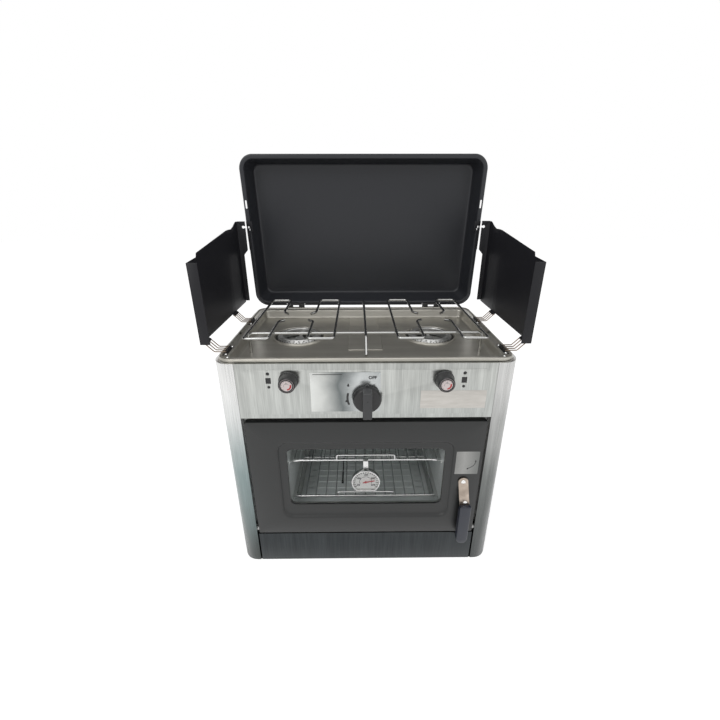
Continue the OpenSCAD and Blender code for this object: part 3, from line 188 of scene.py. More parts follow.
def foilGlare(name, reflectionTones, start, width, rough):
    # bright foil with painted reflection: its tone runs across it in soft bands of light and dark
    mat, tree, shader = newMaterial(name)
    coord = addNode(tree, "ShaderNodeTexCoord")
    split = addNode(tree, "ShaderNodeSeparateXYZ")
    tree.links.new(coord.outputs["Object"], split.inputs[0])
    drift = addNode(tree, "ShaderNodeTexNoise", Scale=28.0, Detail=2.0)
    tree.links.new(coord.outputs["Object"], drift.inputs["Vector"])
    across = addNode(tree, "ShaderNodeMapRange")
    across.inputs["From Min"].default_value = start * mm
    across.inputs["From Max"].default_value = (start + width) * mm
    tree.links.new(split.outputs["X"], across.inputs["Value"])
    wander = addNode(tree, "ShaderNodeMath", operation="MULTIPLY_ADD")
    wander.inputs[1].default_value = 0.22
    tree.links.new(drift.outputs["Fac"], wander.inputs[0])
    tree.links.new(across.outputs["Result"], wander.inputs[2])
    ramp = addNode(tree, "ShaderNodeValToRGB")
    ramp.color_ramp.elements[0].color = (*reflectionTones[0], 1)
    ramp.color_ramp.elements[1].color = (*reflectionTones[-1], 1)
    for i, tone in enumerate(reflectionTones[1:-1], 1):
        band = ramp.color_ramp.elements.new(i / (len(reflectionTones) - 1))
        band.color = (*tone, 1)
    tree.links.new(wander.outputs[0], ramp.inputs["Fac"])
    tree.links.new(ramp.outputs["Color"], shader.inputs["Base Color"])
    shader.inputs["Roughness"].default_value = rough
    shader.inputs["Metallic"].default_value = 0.8
    return mat


def glassFinish(name, colour, rough, clearShare):
    # pane, mostly see-through, with a glossy surface
    mat, _, shader = newMaterial(name)
    shader.inputs["Base Color"].default_value = (*colour, 1)
    shader.inputs["Roughness"].default_value = rough
    shader.inputs["Alpha"].default_value = 1 - clearShare
    shader.inputs["Specular IOR Level"].default_value = 0.7
    return mat


# painted reflection on the fascia and rear panel: lighter higher up, darker lower down
brushedPaintedSheen = shellFinish("brushedPaintedSheen", (0.28, 0.29, 0.28), (0.38, 0.40, 0.39), (0.45, 0.46, 0.44), 0.30,
                           contrast=0.26)
# painted reflection: the side panels run from dark at the floor to light at the top, and the right panel is a
# darker copy of the left
leftSidePaintedSheen = shellFinish("leftSidePaintedSheen", (0.05, 0.057, 0.055), (0.22, 0.27, 0.27), (0.72, 0.72, 0.71), 0.26,
                        contrast=0.22)
rightSidePaintedSheen = shellFinish("rightSidePaintedSheen", (0.05, 0.055, 0.055), (0.15, 0.157, 0.153), (0.56, 0.56, 0.55),
                         0.26, contrast=0.22)
# painted reflection: the kick panel is a dark copy of the same steel, standing in for a dark floor reflected in
# it
kickPaintedReflection = shellFinish("kickPaintedReflection", (0.040, 0.045, 0.048), (0.046, 0.050, 0.052), (0.05, 0.05, 0.05), 0.34,
                        contrast=0.3)
hobSheet = mottledFinish("hobSheet", (0.37, 0.355, 0.315), (0.45, 0.435, 0.39), 0.30, 0.60,
                         scale=(0.12, 1, 1), size=50, spread=0.04)
innerSheet = mottledFinish("innerSheet", (0.40, 0.40, 0.39), (0.5, 0.5, 0.49), 0.42, 1.0, size=20)
ovenSheet = mottledFinish("ovenSheet", (0.70, 0.74, 0.73), (0.82, 0.86, 0.85), 0.34, 0.25, size=14)
burnerSheet = mottledFinish("burnerSheet", (0.16, 0.16, 0.15), (0.3, 0.3, 0.29), 0.5, 1.0, size=40)
burnerAlloy = mottledFinish("burnerAlloy", (0.40, 0.40, 0.39), (0.55, 0.55, 0.54), 0.40, 0.85, size=120)
# painted shade: black for the insides of the burner ports
portPaintedShade = plainFinish("portPaintedShade", (0.012, 0.012, 0.012), 0.6)
brassFinish = mottledFinish("brassFinish", (0.6, 0.44, 0.18), (0.72, 0.55, 0.25), 0.35, 1.0, size=60)
brightWire = plainFinish("brightWire", (0.74, 0.74, 0.73), 0.16, metal=1.0)
grateWire = plainFinish("grateWire", (0.44, 0.44, 0.43), 0.2, metal=1.0)
rackWire = plainFinish("rackWire", (0.36, 0.38, 0.375), 0.4, metal=0.5)
bronzeWire = plainFinish("bronzeWire", (0.22, 0.17, 0.13), 0.34, metal=1.0)
strapSteel = mottledFinish("strapSteel", (0.36, 0.30, 0.25), (0.46, 0.39, 0.33), 0.32, 0.9, size=90)
# painted shade: shields and lid catches take a darker copy of the lid's black paint, for the shade on their
# inner sides
shadedBlackEnamel = mottledFinish("shadedBlackEnamel", (0.008, 0.008, 0.0105), (0.012, 0.012, 0.015), 0.46, 0.0,
                            size=900, spread=0.05, bump=0.12, detail=2, specular=0.3)
litBlackEnamel = mottledFinish("litBlackEnamel", (0.022, 0.0235, 0.028), (0.028, 0.030, 0.036), 0.38, 0.0,
                          size=900, spread=0.05, bump=0.12, detail=2, specular=0.4)
doorEnamel = mottledFinish("doorEnamel", (0.013, 0.014, 0.0138), (0.018, 0.019, 0.0188), 0.36, 0.0,
                           size=900, spread=0.05, bump=0.12, detail=2)
hingeSteel = plainFinish("hingeSteel", (0.03, 0.03, 0.03), 0.4, metal=0.2)
blackPlastic = plainFinish("blackPlastic", (0.012, 0.012, 0.013), 0.36)
greyPlastic = plainFinish("greyPlastic", (0.038, 0.039, 0.041), 0.40)
navyPlastic = plainFinish("navyPlastic", (0.012, 0.016, 0.030), 0.34, coat=0.2)
darkRubber = plainFinish("darkRubber", (0.02, 0.02, 0.02), 0.75)
ceramicFinish = plainFinish("ceramicFinish", (0.75, 0.72, 0.64), 0.3, coat=0.3)
needleRed = plainFinish("needleRed", (0.55, 0.02, 0.02), 0.4)
foilFinish = mottledFinish("foilFinish", (0.45, 0.43, 0.40), (0.53, 0.51, 0.48), 0.3, 0.85,
                           scale=(0.2, 1, 1), size=200, spread=0.04)
# painted reflection: the dial plate and latch plate carry bands of reflected light and dark across their width
platePaintedReflection = foilGlare("platePaintedReflection", [(0.80, 0.81, 0.79), (0.58, 0.59, 0.57), (0.15, 0.165, 0.165),
                                    (0.55, 0.57, 0.57), (0.42, 0.44, 0.44)], -104, 150, 0.24)
latchPlatePaintedReflection = foilGlare("latchPlatePaintedReflection", [(0.16, 0.16, 0.155), (0.30, 0.30, 0.29), (0.15, 0.155, 0.15)],
                       160, 62, 0.24)
windowGlass = glassFinish("windowGlass", (0.03, 0.035, 0.035), 0.03, 0.95)
dialWhite = plainFinish("dialWhite", (0.95, 0.95, 0.93), 0.4)
dialPink = plainFinish("dialPink", (0.80, 0.70, 0.69), 0.35)
sensorBlack = plainFinish("sensorBlack", (0.015, 0.015, 0.015), 0.5)
clearGlass = glassFinish("clearGlass", (0.8, 0.82, 0.82), 0.02, 0.97)
markBlack = plainFinish("markBlack", (0.02, 0.02, 0.02), 0.5)
markGrey = plainFinish("markGrey", (0.35, 0.33, 0.33), 0.5)
screwSteel = plainFinish("screwSteel", (0.6, 0.6, 0.59), 0.25, metal=1.0)
print("finishes made")

nodeFinish = dict(
    side_panel_left=leftSidePaintedSheen, side_panel_right=rightSidePaintedSheen, fascia=brushedPaintedSheen, kick_panel=kickPaintedReflection,
    rear_panel=brushedPaintedSheen, base_pan=innerSheet, feet=darkRubber, face_frame=innerSheet,
    oven_liner=ovenSheet, rack_runners=brightWire, flame_spreader=ovenSheet, oven_burner=burnerSheet,
    gas_rail=brassFinish,
    burner_valves=brassFinish, gas_inlet=brassFinish, hob_pan=hobSheet, burner_bowls=burnerSheet,
    burner_rings=burnerAlloy, mixing_tubes=burnerSheet, igniters=ceramicFinish, pot_supports=brightWire,
    cross_bar=brightWire, centre_rod=brightWire, rim_rivets=brightWire, lid_hinges=hingeSteel,
    shield_brackets=hingeSteel, latch_keeper=innerSheet, door_pins=innerSheet, dial_plate=platePaintedReflection,
    fascia_fixings=blackPlastic, lid=shadedBlackEnamel, lid_hinge_flaps=hingeSteel, lid_catches=shadedBlackEnamel,
    link_left=bronzeWire, link_right=bronzeWire, shield_left=shadedBlackEnamel, shield_right=shadedBlackEnamel,
    door_skin=doorEnamel, door_liner=innerSheet, door_glass=windowGlass, door_gasket=darkRubber,
    latch_plate=latchPlatePaintedReflection, latch_strap=strapSteel, latch_grip=navyPlastic, latch_spindle=innerSheet,
    latch_rivets=brightWire, rack_upper=brightWire, thermometer_case=brightWire,
    thermometer_dial=dialWhite, thermometer_needle=needleRed, thermometer_lens=clearGlass,
    rack_lower=brightWire, stem_left=brassFinish, knob_left=blackPlastic, stem_right=brassFinish,
    knob_right=blackPlastic, stem_oven=brassFinish, knob_oven=greyPlastic, dial_left=dialPink,
    dial_right=dialPink)
for name, finish in nodeFinish.items():
    mesh = nodes[name].data
    mesh.materials.clear()
    mesh.materials.append(finish)


# mesh helpers, in millimetres

def makePiece(bm, name, body, finish, crease=35):
    # the drawn mesh becomes a piece of the object, in metres
    bmesh.ops.scale(bm, vec=(mm, mm, mm), verts=bm.verts)
    data = bpy.data.meshes.new(name)
    bm.to_mesh(data)
    bm.free()
    data.materials.append(finish)
    data.shade_smooth()
    data.set_sharp_from_angle(angle=math.radians(crease))
    piece = bpy.data.objects.new(name, data)
    bpy.context.collection.objects.link(piece)
    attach(piece, body)
    return piece


def softPath(points, bend, steps=4):
    # path with its corners rounded off
    path = [Vector(p) for p in points]
    soft = [path[0]]
    for before, corner, after in zip(path, path[1:], path[2:]):
        cutIn = min(bend, (corner - before).length * 0.48)
        cutOut = min(bend, (after - corner).length * 0.48)
        start = corner + (before - corner).normalized() * cutIn
        end = corner + (after - corner).normalized() * cutOut
        for i in range(steps + 1):
            t = i / steps
            soft.append(start.lerp(corner, t).lerp(corner.lerp(end, t), t))
    soft.append(path[-1])
    return soft


def drawnEdges(bm, points):
    # open line through the points
    vert = bmesh.ops.create_vert(bm, co=points[0])["vert"][0]
    drawn = [vert]
    for point in points[1:]:
        made = bmesh.ops.extrude_vert_indiv(bm, verts=[vert])
        vert = made["verts"][0]
        vert.co = point
        drawn += [vert] + made["edges"]
    return drawn


def turned(bm, points, place, axis, steps=48):
    # profile of (radius, height) pairs turned round an axis through the place
    axis = Vector(axis)
    out = axis.orthogonal().normalized()
    start = [Vector(place) + out * p[0] + axis * p[1] for p in points]
    geom = drawnEdges(bm, start)
    bmesh.ops.spin(bm, geom=geom, cent=place, axis=axis, dvec=(0, 0, 0), angle=2 * math.pi, steps=steps,
                   use_merge=True, use_duplicate=False)


def tidied(bm):
    bmesh.ops.remove_doubles(bm, verts=bm.verts, dist=0.0005)
    bm.normal_update()
    bmesh.ops.recalc_face_normals(bm, faces=bm.faces)


def roundedLoop(bm, width, height, corner, place, upright, perCorner=10):
    # rounded rectangle, as a ring of vertices that always run in the same order
    made = bmesh.ops.create_circle(bm, cap_ends=False, segments=4 * perCorner, radius=corner)["verts"]
    turn = Matrix.Rotation(math.pi / (4 * perCorner), 3, "Z")
    for vert in made:
        co = turn @ vert.co
        across = co.x + math.copysign(width / 2 - corner, co.x)
        along = co.y + math.copysign(height / 2 - corner, co.y)
        vert.co = Vector(place) + Vector((across, 0, along) if upright else (across, along, 0))
    return made


def loft(bm, loops, upright, fill=True):
    # skin through rounded rectangles, each (width, height, corner, place), pushed out band by band
    ring = roundedLoop(bm, *loops[0], upright)
    for loop in loops[1:]:
        following = roundedLoop(bm, *loop, upright)
        targets = {start: end.co.copy() for start, end in zip(ring, following)}
        bmesh.ops.delete(bm, geom=following, context="VERTS")
        edges = {edge for vert in ring for edge in vert.link_edges if edge.other_vert(vert) in targets}
        pushed = bmesh.ops.extrude_edge_only(bm, edges=list(edges))["geom"]
        fresh = {item for item in pushed if isinstance(item, bmesh.types.BMVert)}
        steps = {start: end for end in fresh for start in (e.other_vert(end) for e in end.link_edges)
                 if start in targets}
        for start, end in steps.items():
            end.co = targets[start]
        ring = [steps[vert] for vert in ring]
    if fill:
        last = set(ring)
        bmesh.ops.edgeloop_fill(bm, edges=[e for e in bm.edges if set(e.verts) <= last])


def block(bm, low, high, edge=0.0, segments=2):
    # block between two corners, with rounded edges
    low, high = Vector(low), Vector(high)
    made = bmesh.ops.create_cube(bm, size=1)["verts"]
    bmesh.ops.scale(bm, vec=high - low, verts=made)
    bmesh.ops.translate(bm, vec=(low + high) / 2, verts=made)
    if edge:
        edges = list({e for v in made for e in v.link_edges})
        bmesh.ops.bevel(bm, geom=edges, offset=edge, segments=segments, profile=0.5, affect="EDGES",
                        material=-1)


def drum(bm, place, axis, radius, length):
    # round bar along an axis, centred on the place
    turn = Vector(axis).to_track_quat("Z", "Y").to_matrix().to_4x4()
    bmesh.ops.create_cone(bm, cap_ends=True, segments=48, radius1=radius, radius2=radius, depth=length,
                          matrix=Matrix.Translation(place) @ turn)


def settle(piece):
    # the piece's modifiers become part of its mesh, with every face turned outwards
    graph = bpy.context.evaluated_depsgraph_get()
    data = bpy.data.meshes.new_from_object(piece.evaluated_get(graph))
    piece.modifiers.clear()
    bm = bmesh.new()
    bm.from_mesh(data)
    bmesh.ops.recalc_face_normals(bm, faces=bm.faces)
    bm.to_mesh(data)
    bm.free()
    data.shade_smooth()
    data.set_sharp_from_angle(angle=math.radians(30))
    piece.data = data


def finished(piece, skin, facing, cutter=None):
    # thickens an open sheet away from the side that it shows, and cuts holes through it
    settle(piece)
    widest = max(piece.data.polygons, key=lambda face: face.area)
    if widest.normal.dot(Vector(facing)) < 0:
        piece.data.flip_normals()
    solid = piece.modifiers.new("skin", "SOLIDIFY")
    solid.thickness = skin * mm
    solid.offset = -1
    solid.use_even_offset = True
    settle(piece)
    tool = None
    if cutter:
        bmesh.ops.scale(cutter, vec=(mm, mm, mm), verts=cutter.verts)
        shape = bpy.data.meshes.new("cutter")
        cutter.to_mesh(shape)
        cutter.free()
        tool = bpy.data.objects.new("cutter", shape)
        bpy.context.collection.objects.link(tool)
        cut = piece.modifiers.new("holes", "BOOLEAN")
        cut.operation = "DIFFERENCE"
        cut.solver = "EXACT"
        cut.object = tool
    settle(piece)
    if tool:
        bpy.data.objects.remove(tool)


def softened(name, width, segments=2, crease=30):
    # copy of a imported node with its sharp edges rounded
    node = nodes[name]
    bm = bmesh.new()
    bm.from_mesh(node.data)
    bmesh.ops.remove_doubles(bm, verts=bm.verts, dist=0.00001)
    bmesh.ops.dissolve_limit(bm, angle_limit=math.radians(1), verts=bm.verts, edges=bm.edges)
    bm.normal_update()
    bmesh.ops.recalc_face_normals(bm, faces=bm.faces)
    sharp = [e for e in bm.edges if len(e.link_faces) == 2 and e.calc_face_angle() > math.radians(crease)]
    bmesh.ops.bevel(bm, geom=sharp, offset=width * mm, segments=segments, profile=0.5, affect="EDGES",
                    material=-1, clamp_overlap=True)
    bmesh.ops.triangulate(bm, faces=[f for f in bm.faces if len(f.verts) > 4])
    bmesh.ops.scale(bm, vec=(1 / mm, 1 / mm, 1 / mm), verts=bm.verts)
    piece = makePiece(bm, "soft_" + name, bodyOf[name], nodeFinish[name], crease=40)
    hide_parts(name)


def wirePiece(name, paths, radius, bend, body, finish, slotName, *replaced):
    # round wires, each bent along its own path
    data = bpy.data.curves.new(name, "CURVE")
    data.dimensions = "3D"
    data.bevel_depth = radius * mm
    data.bevel_resolution = 3
    data.use_fill_caps = True
    for path in paths:
        soft = softPath(path, bend)
        closed = soft[0] == soft[-1]
        line = data.splines.new("POLY")
        line.points.add(len(soft) - 1 - closed)
        for point, place in zip(line.points, soft):
            point.co = (*(place * mm), 1)
        line.use_cyclic_u = closed
        line.use_smooth = True
    data.materials.append(finish)
    piece = bpy.data.objects.new(name, data)
    bpy.context.collection.objects.link(piece)
    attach(piece, body)
    if replaced:
        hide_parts(*replaced)


def words(bm, text, height, place):
    # flat letters on an upright face
    data = bpy.data.curves.new("letters", "FONT")
    data.body = text
    data.size = height * 1.4
    data.offset = height * 0.06
    data.align_x, data.align_y = "CENTER", "CENTER"
    holder = bpy.data.objects.new("letters", data)
    flat = bpy.data.meshes.new_from_object(holder)
    kept = set(bm.verts)
    bm.from_mesh(flat)
    fresh = [v for v in bm.verts if v not in kept]
    bmesh.ops.rotate(bm, cent=(0, 0, 0), matrix=Matrix.Rotation(math.radians(90), 3, "X"), verts=fresh)
    bmesh.ops.translate(bm, vec=place, verts=fresh)
    bpy.data.objects.remove(holder)
    bpy.data.meshes.remove(flat)


def arcStroke(bm, centre, radius, width, start, end, taper=1.0, steps=16):
    # flat curved stroke on an upright face, from start to end degrees
    a = math.radians(start)
    way = Vector((math.cos(a), 0, math.sin(a)))
    centre = Vector(centre)
    line = drawnEdges(bm, [centre + way * (radius - width / 2), centre + way * (radius + width / 2)])
    made = bmesh.ops.spin(bm, geom=line, cent=centre, axis=(0, -1, 0), dvec=(0, 0, 0),
                          angle=math.radians(end - start), steps=steps, use_merge=False, use_duplicate=False)
    if taper != 1.0:
        last = [g for g in made["geom_last"] if isinstance(g, bmesh.types.BMVert)]
        middle = sum((v.co for v in last), Vector()) / len(last)
        bmesh.ops.scale(bm, vec=(taper, taper, taper), space=Matrix.Translation(-middle), verts=last)


def flatMark(bm, place, points):
    # small flat shape on an upright face, from a few outline points
    made = drawnEdges(bm, [Vector(place) + Vector((x, 0, z)) for x, z in points])
    verts = [g for g in made if isinstance(g, bmesh.types.BMVert)]
    bmesh.ops.contextual_create(bm, geom=verts)


bodyOf = {name: body for body, names in frame["record"]["behaviour"]["bodies"].items() for name in names}


# lid: pressed tray that stands open behind the hob
lidPress = dict(width=520, length=327.5, edge=2.5, corner=30, flange=10, depth=45, draft=9.5, skin=0.9,
                lip=4.5, face=-2.2, hinge=(0, 165.7, 474.0), lean=4.44, soft=5,
                hookX=254.5, hookHeights=(228, 182), hookSlot=(3.6, 17), hingeX=165, hingeNotch=(44, 3.1))


def makeLid(s):
    middle = s["length"] / 2 - s["edge"]
    flange, draft, floor, skin = s["flange"], s["draft"], s["depth"], s["skin"]
    profile = [(skin, s["lip"]), (skin, 2.2), (skin + 0.4, 1.3), (skin + 1.3, skin)]
    profile += softPath([(flange - 5, skin), (flange - skin, skin), (flange - skin + draft, floor),
                         (flange + draft + 14, floor)], s["soft"])
    bm = bmesh.new()
    loops = []
    for inset, depth in profile:
        past = max(inset - flange, 0)  # inside the flange the corners tighten more slowly
        corner = max(s["corner"] - (inset - past) - past / 3, 6)
        loops.append((s["width"] - 2 * inset, s["length"] - 2 * inset, corner,
                      (0, s["face"] + depth, middle)))
    loft(bm, loops, True)
    cutter = bmesh.new()
    wide, tall = s["hookSlot"][0] / 2, s["hookSlot"][1] / 2
    notch, top = s["hingeNotch"][0] / 2, s["hingeNotch"][1]
    for side in (-1, 1):
        x = side * s["hookX"]
        for height in s["hookHeights"]:
            block(cutter, (x - wide, -5, height - tall), (x + wide, 1, height + tall), 1.6, 4)
        x = side * s["hingeX"]
        block(cutter, (x - notch, -4, -6), (x + notch, 6, top))
    lean = Matrix.Translation(s["hinge"]) @ Matrix.Rotation(math.radians(s["lean"]), 4, "X")
    for mesh in (bm, cutter):
        bmesh.ops.transform(mesh, matrix=lean, verts=mesh.verts)
    lid = makePiece(bm, "lidTray", "lid_body", litBlackEnamel)
    finished(lid, skin, (0, 1, 0), cutter)
    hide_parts("lid")


makeLid(lidPress)
print("lid made")


# hob: pressed pan with a rolled rim, holes for the burners and a raised middle field
hobPress = dict(rim=(508, 319.6), rimMiddle=0.2, rimCorner=26.6, bead=3.7, beadHeight=464.7, skirt=461,
                shelf=466.4, pan=(473, 284), panMiddle=-2, panCorner=14, draft=3, floor=448, soft=4.5,
                burners=((-136, 7), (136, 7)), hole=50, slot=(247, -26), field=(33, -73, 134))


def makeHob(s):
    bm = bmesh.new()
    bead, corner = s["bead"], s["rimCorner"]
    loops = [(s["rim"][0] - 2 * bead, s["rim"][1] - 2 * bead, corner - bead, (0, s["rimMiddle"], s["skirt"]))]
    for i in range(11):
        turn = math.radians(-80 + 23 * i)
        inset = bead * (1 - math.cos(turn))
        loops.append((s["rim"][0] - 2 * inset, s["rim"][1] - 2 * inset, corner - inset,
                      (0, s["rimMiddle"], s["beadHeight"] + bead * math.sin(turn))))
    wall = [(-5, s["shelf"]), (0, s["shelf"]), (s["draft"], s["floor"]), (14, s["floor"])]
    for inset, height in softPath(wall, s["soft"]):
        loops.append((s["pan"][0] - 2 * inset, s["pan"][1] - 2 * inset, max(s["panCorner"] - inset, 7),
                      (0, s["panMiddle"], height)))
    loft(bm, loops, False)
    cutter = bmesh.new()
    for x, y in s["burners"]:
        drum(cutter, (x, y, s["floor"]), (0, 0, 1), s["hole"] + 1.4, 14)
    for side in (-1, 1):
        block(cutter, (side * s["slot"][0] - 2.5, s["slot"][1] - 5, s["shelf"] - 5),
              (side * s["slot"][0] + 2.5, s["slot"][1] + 5, s["shelf"] + 5), 1)
    hob = makePiece(bm, "hobPan", "casing", hobSheet)
    finished(hob, 1.0, (0, 0, 1), cutter)
    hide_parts("hob_pan")
    trim = bmesh.new()
    for x, y in s["burners"]:
        lip = [(s["hole"] + 0.2, -1), (s["hole"] + 0.6, 2.2), (s["hole"] + 1.3, 3.3), (s["hole"] + 2.2, 3.4),
               (s["hole"] + 3.0, 2.6), (s["hole"] + 3.4, 1.2), (s["hole"] + 5, 0.1), (s["hole"] + 5, -1)]
        turned(trim, lip, (x, y, s["floor"]), (0, 0, 1), 72)
    x, low, high = s["field"]
    block(trim, (-x, low, s["floor"] - 0.6), (x, high, s["floor"] + 1.5), 1.3, 3)
    tidied(trim)
    makePiece(trim, "hobTrim", "casing", hobSheet)


makeHob(hobPress)
print("hob made")


# pot supports, cross bar and centre rod: bent wire
grate = dict(wire=2.5, bend=7, height=491, front=-123, rear=137, burner=136, outer=213, inner=56, finger=34,
             tips=(-25, 39), hook=10.08, barY=-81, barX=214, barZ=486, pan=448,
             rod=[(0, -146.6, 468.8), (0, -113, 491), (0, 135, 491), (0, 149, 467.8)])


def makeGrate(s):
    paths = []
    for side in (-1, 1):
        for wireX, way in ((s["outer"], 1), (s["inner"], -1)):
            fingerX = side * (s["burner"] + way * s["finger"])
            hookX = fingerX - side * way * s["hook"]
            low, high = s["tips"]
            z, hook = s["height"], s["hook"]
            paths.append([(hookX, low + hook, z - 1), (fingerX, low, z), (fingerX, s["front"], z),
                          (side * wireX, s["front"], z), (side * wireX, s["rear"], z),
                          (fingerX, s["rear"], z), (fingerX, high, z), (hookX, high - hook, z - 1)])
    wirePiece("potSupportWires", paths, s["wire"], s["bend"], "casing", grateWire, "chrome_wire",
              "pot_supports")
    bar = [(-s["barX"], s["barY"], s["pan"]), (-s["barX"], s["barY"], s["barZ"]),
           (s["barX"], s["barY"], s["barZ"]), (s["barX"], s["barY"], s["pan"])]
    wirePiece("crossBarWire", [bar], s["wire"], s["bend"], "casing", grateWire, "chrome_wire", "cross_bar")
    wirePiece("centreRodWire", [s["rod"]], s["wire"] - 0.05, s["bend"], "casing", grateWire, "chrome_wire",
              "centre_rod")


makeGrate(grate)
print("grate made")


# wire links between the hob's rim and the shields
linkBend = dict(inner=(243, 470.1), crank=262.6, outer=(276.4, 484.4), starts=(-130, 38), pitch=26 / 3,
                wire=0.98, bend=1.6)


def makeLinks(s):
    for side, body, node in ((-1, "bail_left", "link_left"), (1, "bail_right", "link_right")):
        paths = []
        for start in s["starts"]:
            for i in range(4):
                y = start + i * s["pitch"]
                paths.append([(side * s["inner"][0], y, s["inner"][1]), (side * s["crank"], y, s["inner"][1]),
                              (side * s["outer"][0], y, s["outer"][1])])
            for x, z in (s["inner"], s["outer"]):
                paths.append([(side * x, start - 1.1, z), (side * x, start + 3 * s["pitch"] + 1.1, z)])
        wirePiece("linkWires_" + node, paths, s["wire"], s["bend"], body, bronzeWire, "bronze_wire", node)


makeLinks(linkBend)
print("links made")


# oven racks: frame wire, cross wires and raised handle bar
rackForm = dict(half=143.5, front=-129, back=121, frame=2, thin=1.3, pitch=20.5, wires=13, over=2.5, bar=57.4,
                bend=5, upper=(237, 10), lower=(146, 8))  # height of each rack, and rise of its bar


def makeRack(name, node, body, height, s):
    half, front, back = s["half"], s["front"], s["back"]
    z, lift = height
    outline = [(0, front, z), (half, front, z), (half, back, z), (-half, back, z), (-half, front, z),
               (0, front, z)]
    heavy = [outline, [(-half, (front + back) / 2, z), (half, (front + back) / 2, z)]]
    wirePiece(name + "Frame", heavy, s["frame"], s["bend"], body, brightWire, "chrome_wire", node)
    light = []
    for i in range(s["wires"]):
        x = (i - (s["wires"] - 1) / 2) * s["pitch"]
        light.append([(x, front - 1.2, z + s["over"]), (x, back + 0.8, z + s["over"])])
    wirePiece(name + "Wires", light, s["thin"], 1, body, rackWire, "chrome_wire")
    bar = [(-s["bar"], front, z + 1), (-s["bar"], front + 2, z + lift), (s["bar"], front + 2, z + lift),
           (s["bar"], front, z + 1)]
    wirePiece(name + "Bar", [bar], s["frame"] * 0.8, 3.5, body, brightWire, "chrome_wire")


makeRack("upperRack", "rack_upper", "upper_rack", rackForm["upper"], rackForm)
makeRack("lowerRack", "rack_lower", "lower_rack", rackForm["lower"], rackForm)
print("racks made")


# burner ports: painted shade, short black blocks round each ring where the insides of the port slots lie in
# shade
portForm = dict(burners=((-136, 7), (136, 7)), radius=45.0, low=443.5, high=450.5, width=1.6, depth=0.5,
                count=44)


def makePorts(s):
    bm = bmesh.new()
    for x, y in s["burners"]:
        for i in range(s["count"]):
            turn = Matrix.Translation((x, y, 0)) @ Matrix.Rotation(2 * math.pi * i / s["count"], 4, "Z")
            port = bmesh.ops.create_cube(bm, size=1)["verts"]
            bmesh.ops.scale(bm, vec=(s["depth"], s["width"], s["high"] - s["low"]), verts=port)
            bmesh.ops.translate(bm, vec=(s["radius"], 0, (s["low"] + s["high"]) / 2), verts=port)
            bmesh.ops.transform(bm, matrix=turn, verts=port)
    makePiece(bm, "burnerPortShade", "casing", portPaintedShade)


makePorts(portForm)
print("ports made")


# flame sensor on the oven's floor plate: thin rod with a thicker sleeve and a small block
sensorForm = dict(x=-50, low=-65, sleeve=-34, high=22, seat=125, lift=1.9, wire=1.1, sleeveWire=1.8,
                  blocks=((2.4, -70, -64.5, 4.6, 0.6), (2, 17, 22, 3.4, 0.5)))  # half width, ends, height, edge


def makeSensor(s):
    x, seat = s["x"], s["seat"]
    bm = bmesh.new()
    for front, back, radius in ((s["sleeve"], s["high"], s["wire"]), (s["low"], s["sleeve"], s["sleeveWire"])):
        drum(bm, (x, (front + back) / 2, seat + s["lift"]), (0, 1, 0), radius, back - front)
    for half, front, back, height, edge in s["blocks"]:
        block(bm, (x - half, front, seat), (x + half, back, seat + height), edge)
    makePiece(bm, "flameSensor", "casing", sensorBlack)


makeSensor(sensorForm)
print("sensor made")


# door: pressed skin with a sunk window
doorPress = dict(width=437, low=81, height=265.5, corner=3, front=-163, back=-152, recess=(330, 180, 212, 20),
                 window=(298, 133, 217.5, 12), sunk=5, soft=3, pin=(-155, 87.5, 3.6), spindle=(187, 212, 5))


def makeDoor(s):
    bm = bmesh.new()
    middle = s["low"] + s["height"] / 2
    loops = [(s["width"], s["height"], s["corner"], (0, s["back"], middle)),
             (s["width"], s["height"], s["corner"], (0, s["front"] + 1.4, middle)),
             (s["width"] - 0.8, s["height"] - 0.8, s["corner"], (0, s["front"] + 0.4, middle)),
             (s["width"] - 2.8, s["height"] - 2.8, s["corner"], (0, s["front"], middle))]
    width, height, centre, corner = s["recess"]
    for inset, depth in softPath([(-6, 0), (0, 0), (3, s["sunk"]), (9, s["sunk"])], s["soft"]):
        loops.append((width - 2 * inset, height - 2 * inset, corner - inset * 0.6,
                      (0, s["front"] + depth, centre)))
    width, height, centre, corner = s["window"]
    for inset, depth in ((-2, 0), (-0.5, 0.15), (0, 0.7)):
        loops.append((width - 2 * inset, height - 2 * inset, corner - inset,
                      (0, s["front"] + s["sunk"] + depth, centre)))
    loft(bm, loops, True, False)
    cutter = bmesh.new()
    drum(cutter, (0, s["pin"][0], s["pin"][1]), (1, 0, 0), s["pin"][2], 600)
    drum(cutter, (s["spindle"][0], s["front"], s["spindle"][1]), (0, 1, 0), s["spindle"][2], 8)
    door = makePiece(bm, "doorFace", "door", doorEnamel)
    finished(door, 1.0, (0, -1, 0), cutter)
    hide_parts("door_skin")


makeDoor(doorPress)
print("door made")


# oven knob: skirt, grip bar with a rounded crest and pointer mark
ovenKnob = dict(centre=(1.3, 396.5), back=-167.6, radius=25, bar=16, depth=27.95, edge=2.6,
                skirt=[(4.3, 0), (25, 0), (25, 3), (22.8, 9), (21, 10.2), (0.01, 10.6)],
                pointer=(3.5, 3.6, 2.2), dot=(1.3, 0.16, 9))  # radius, length, offset


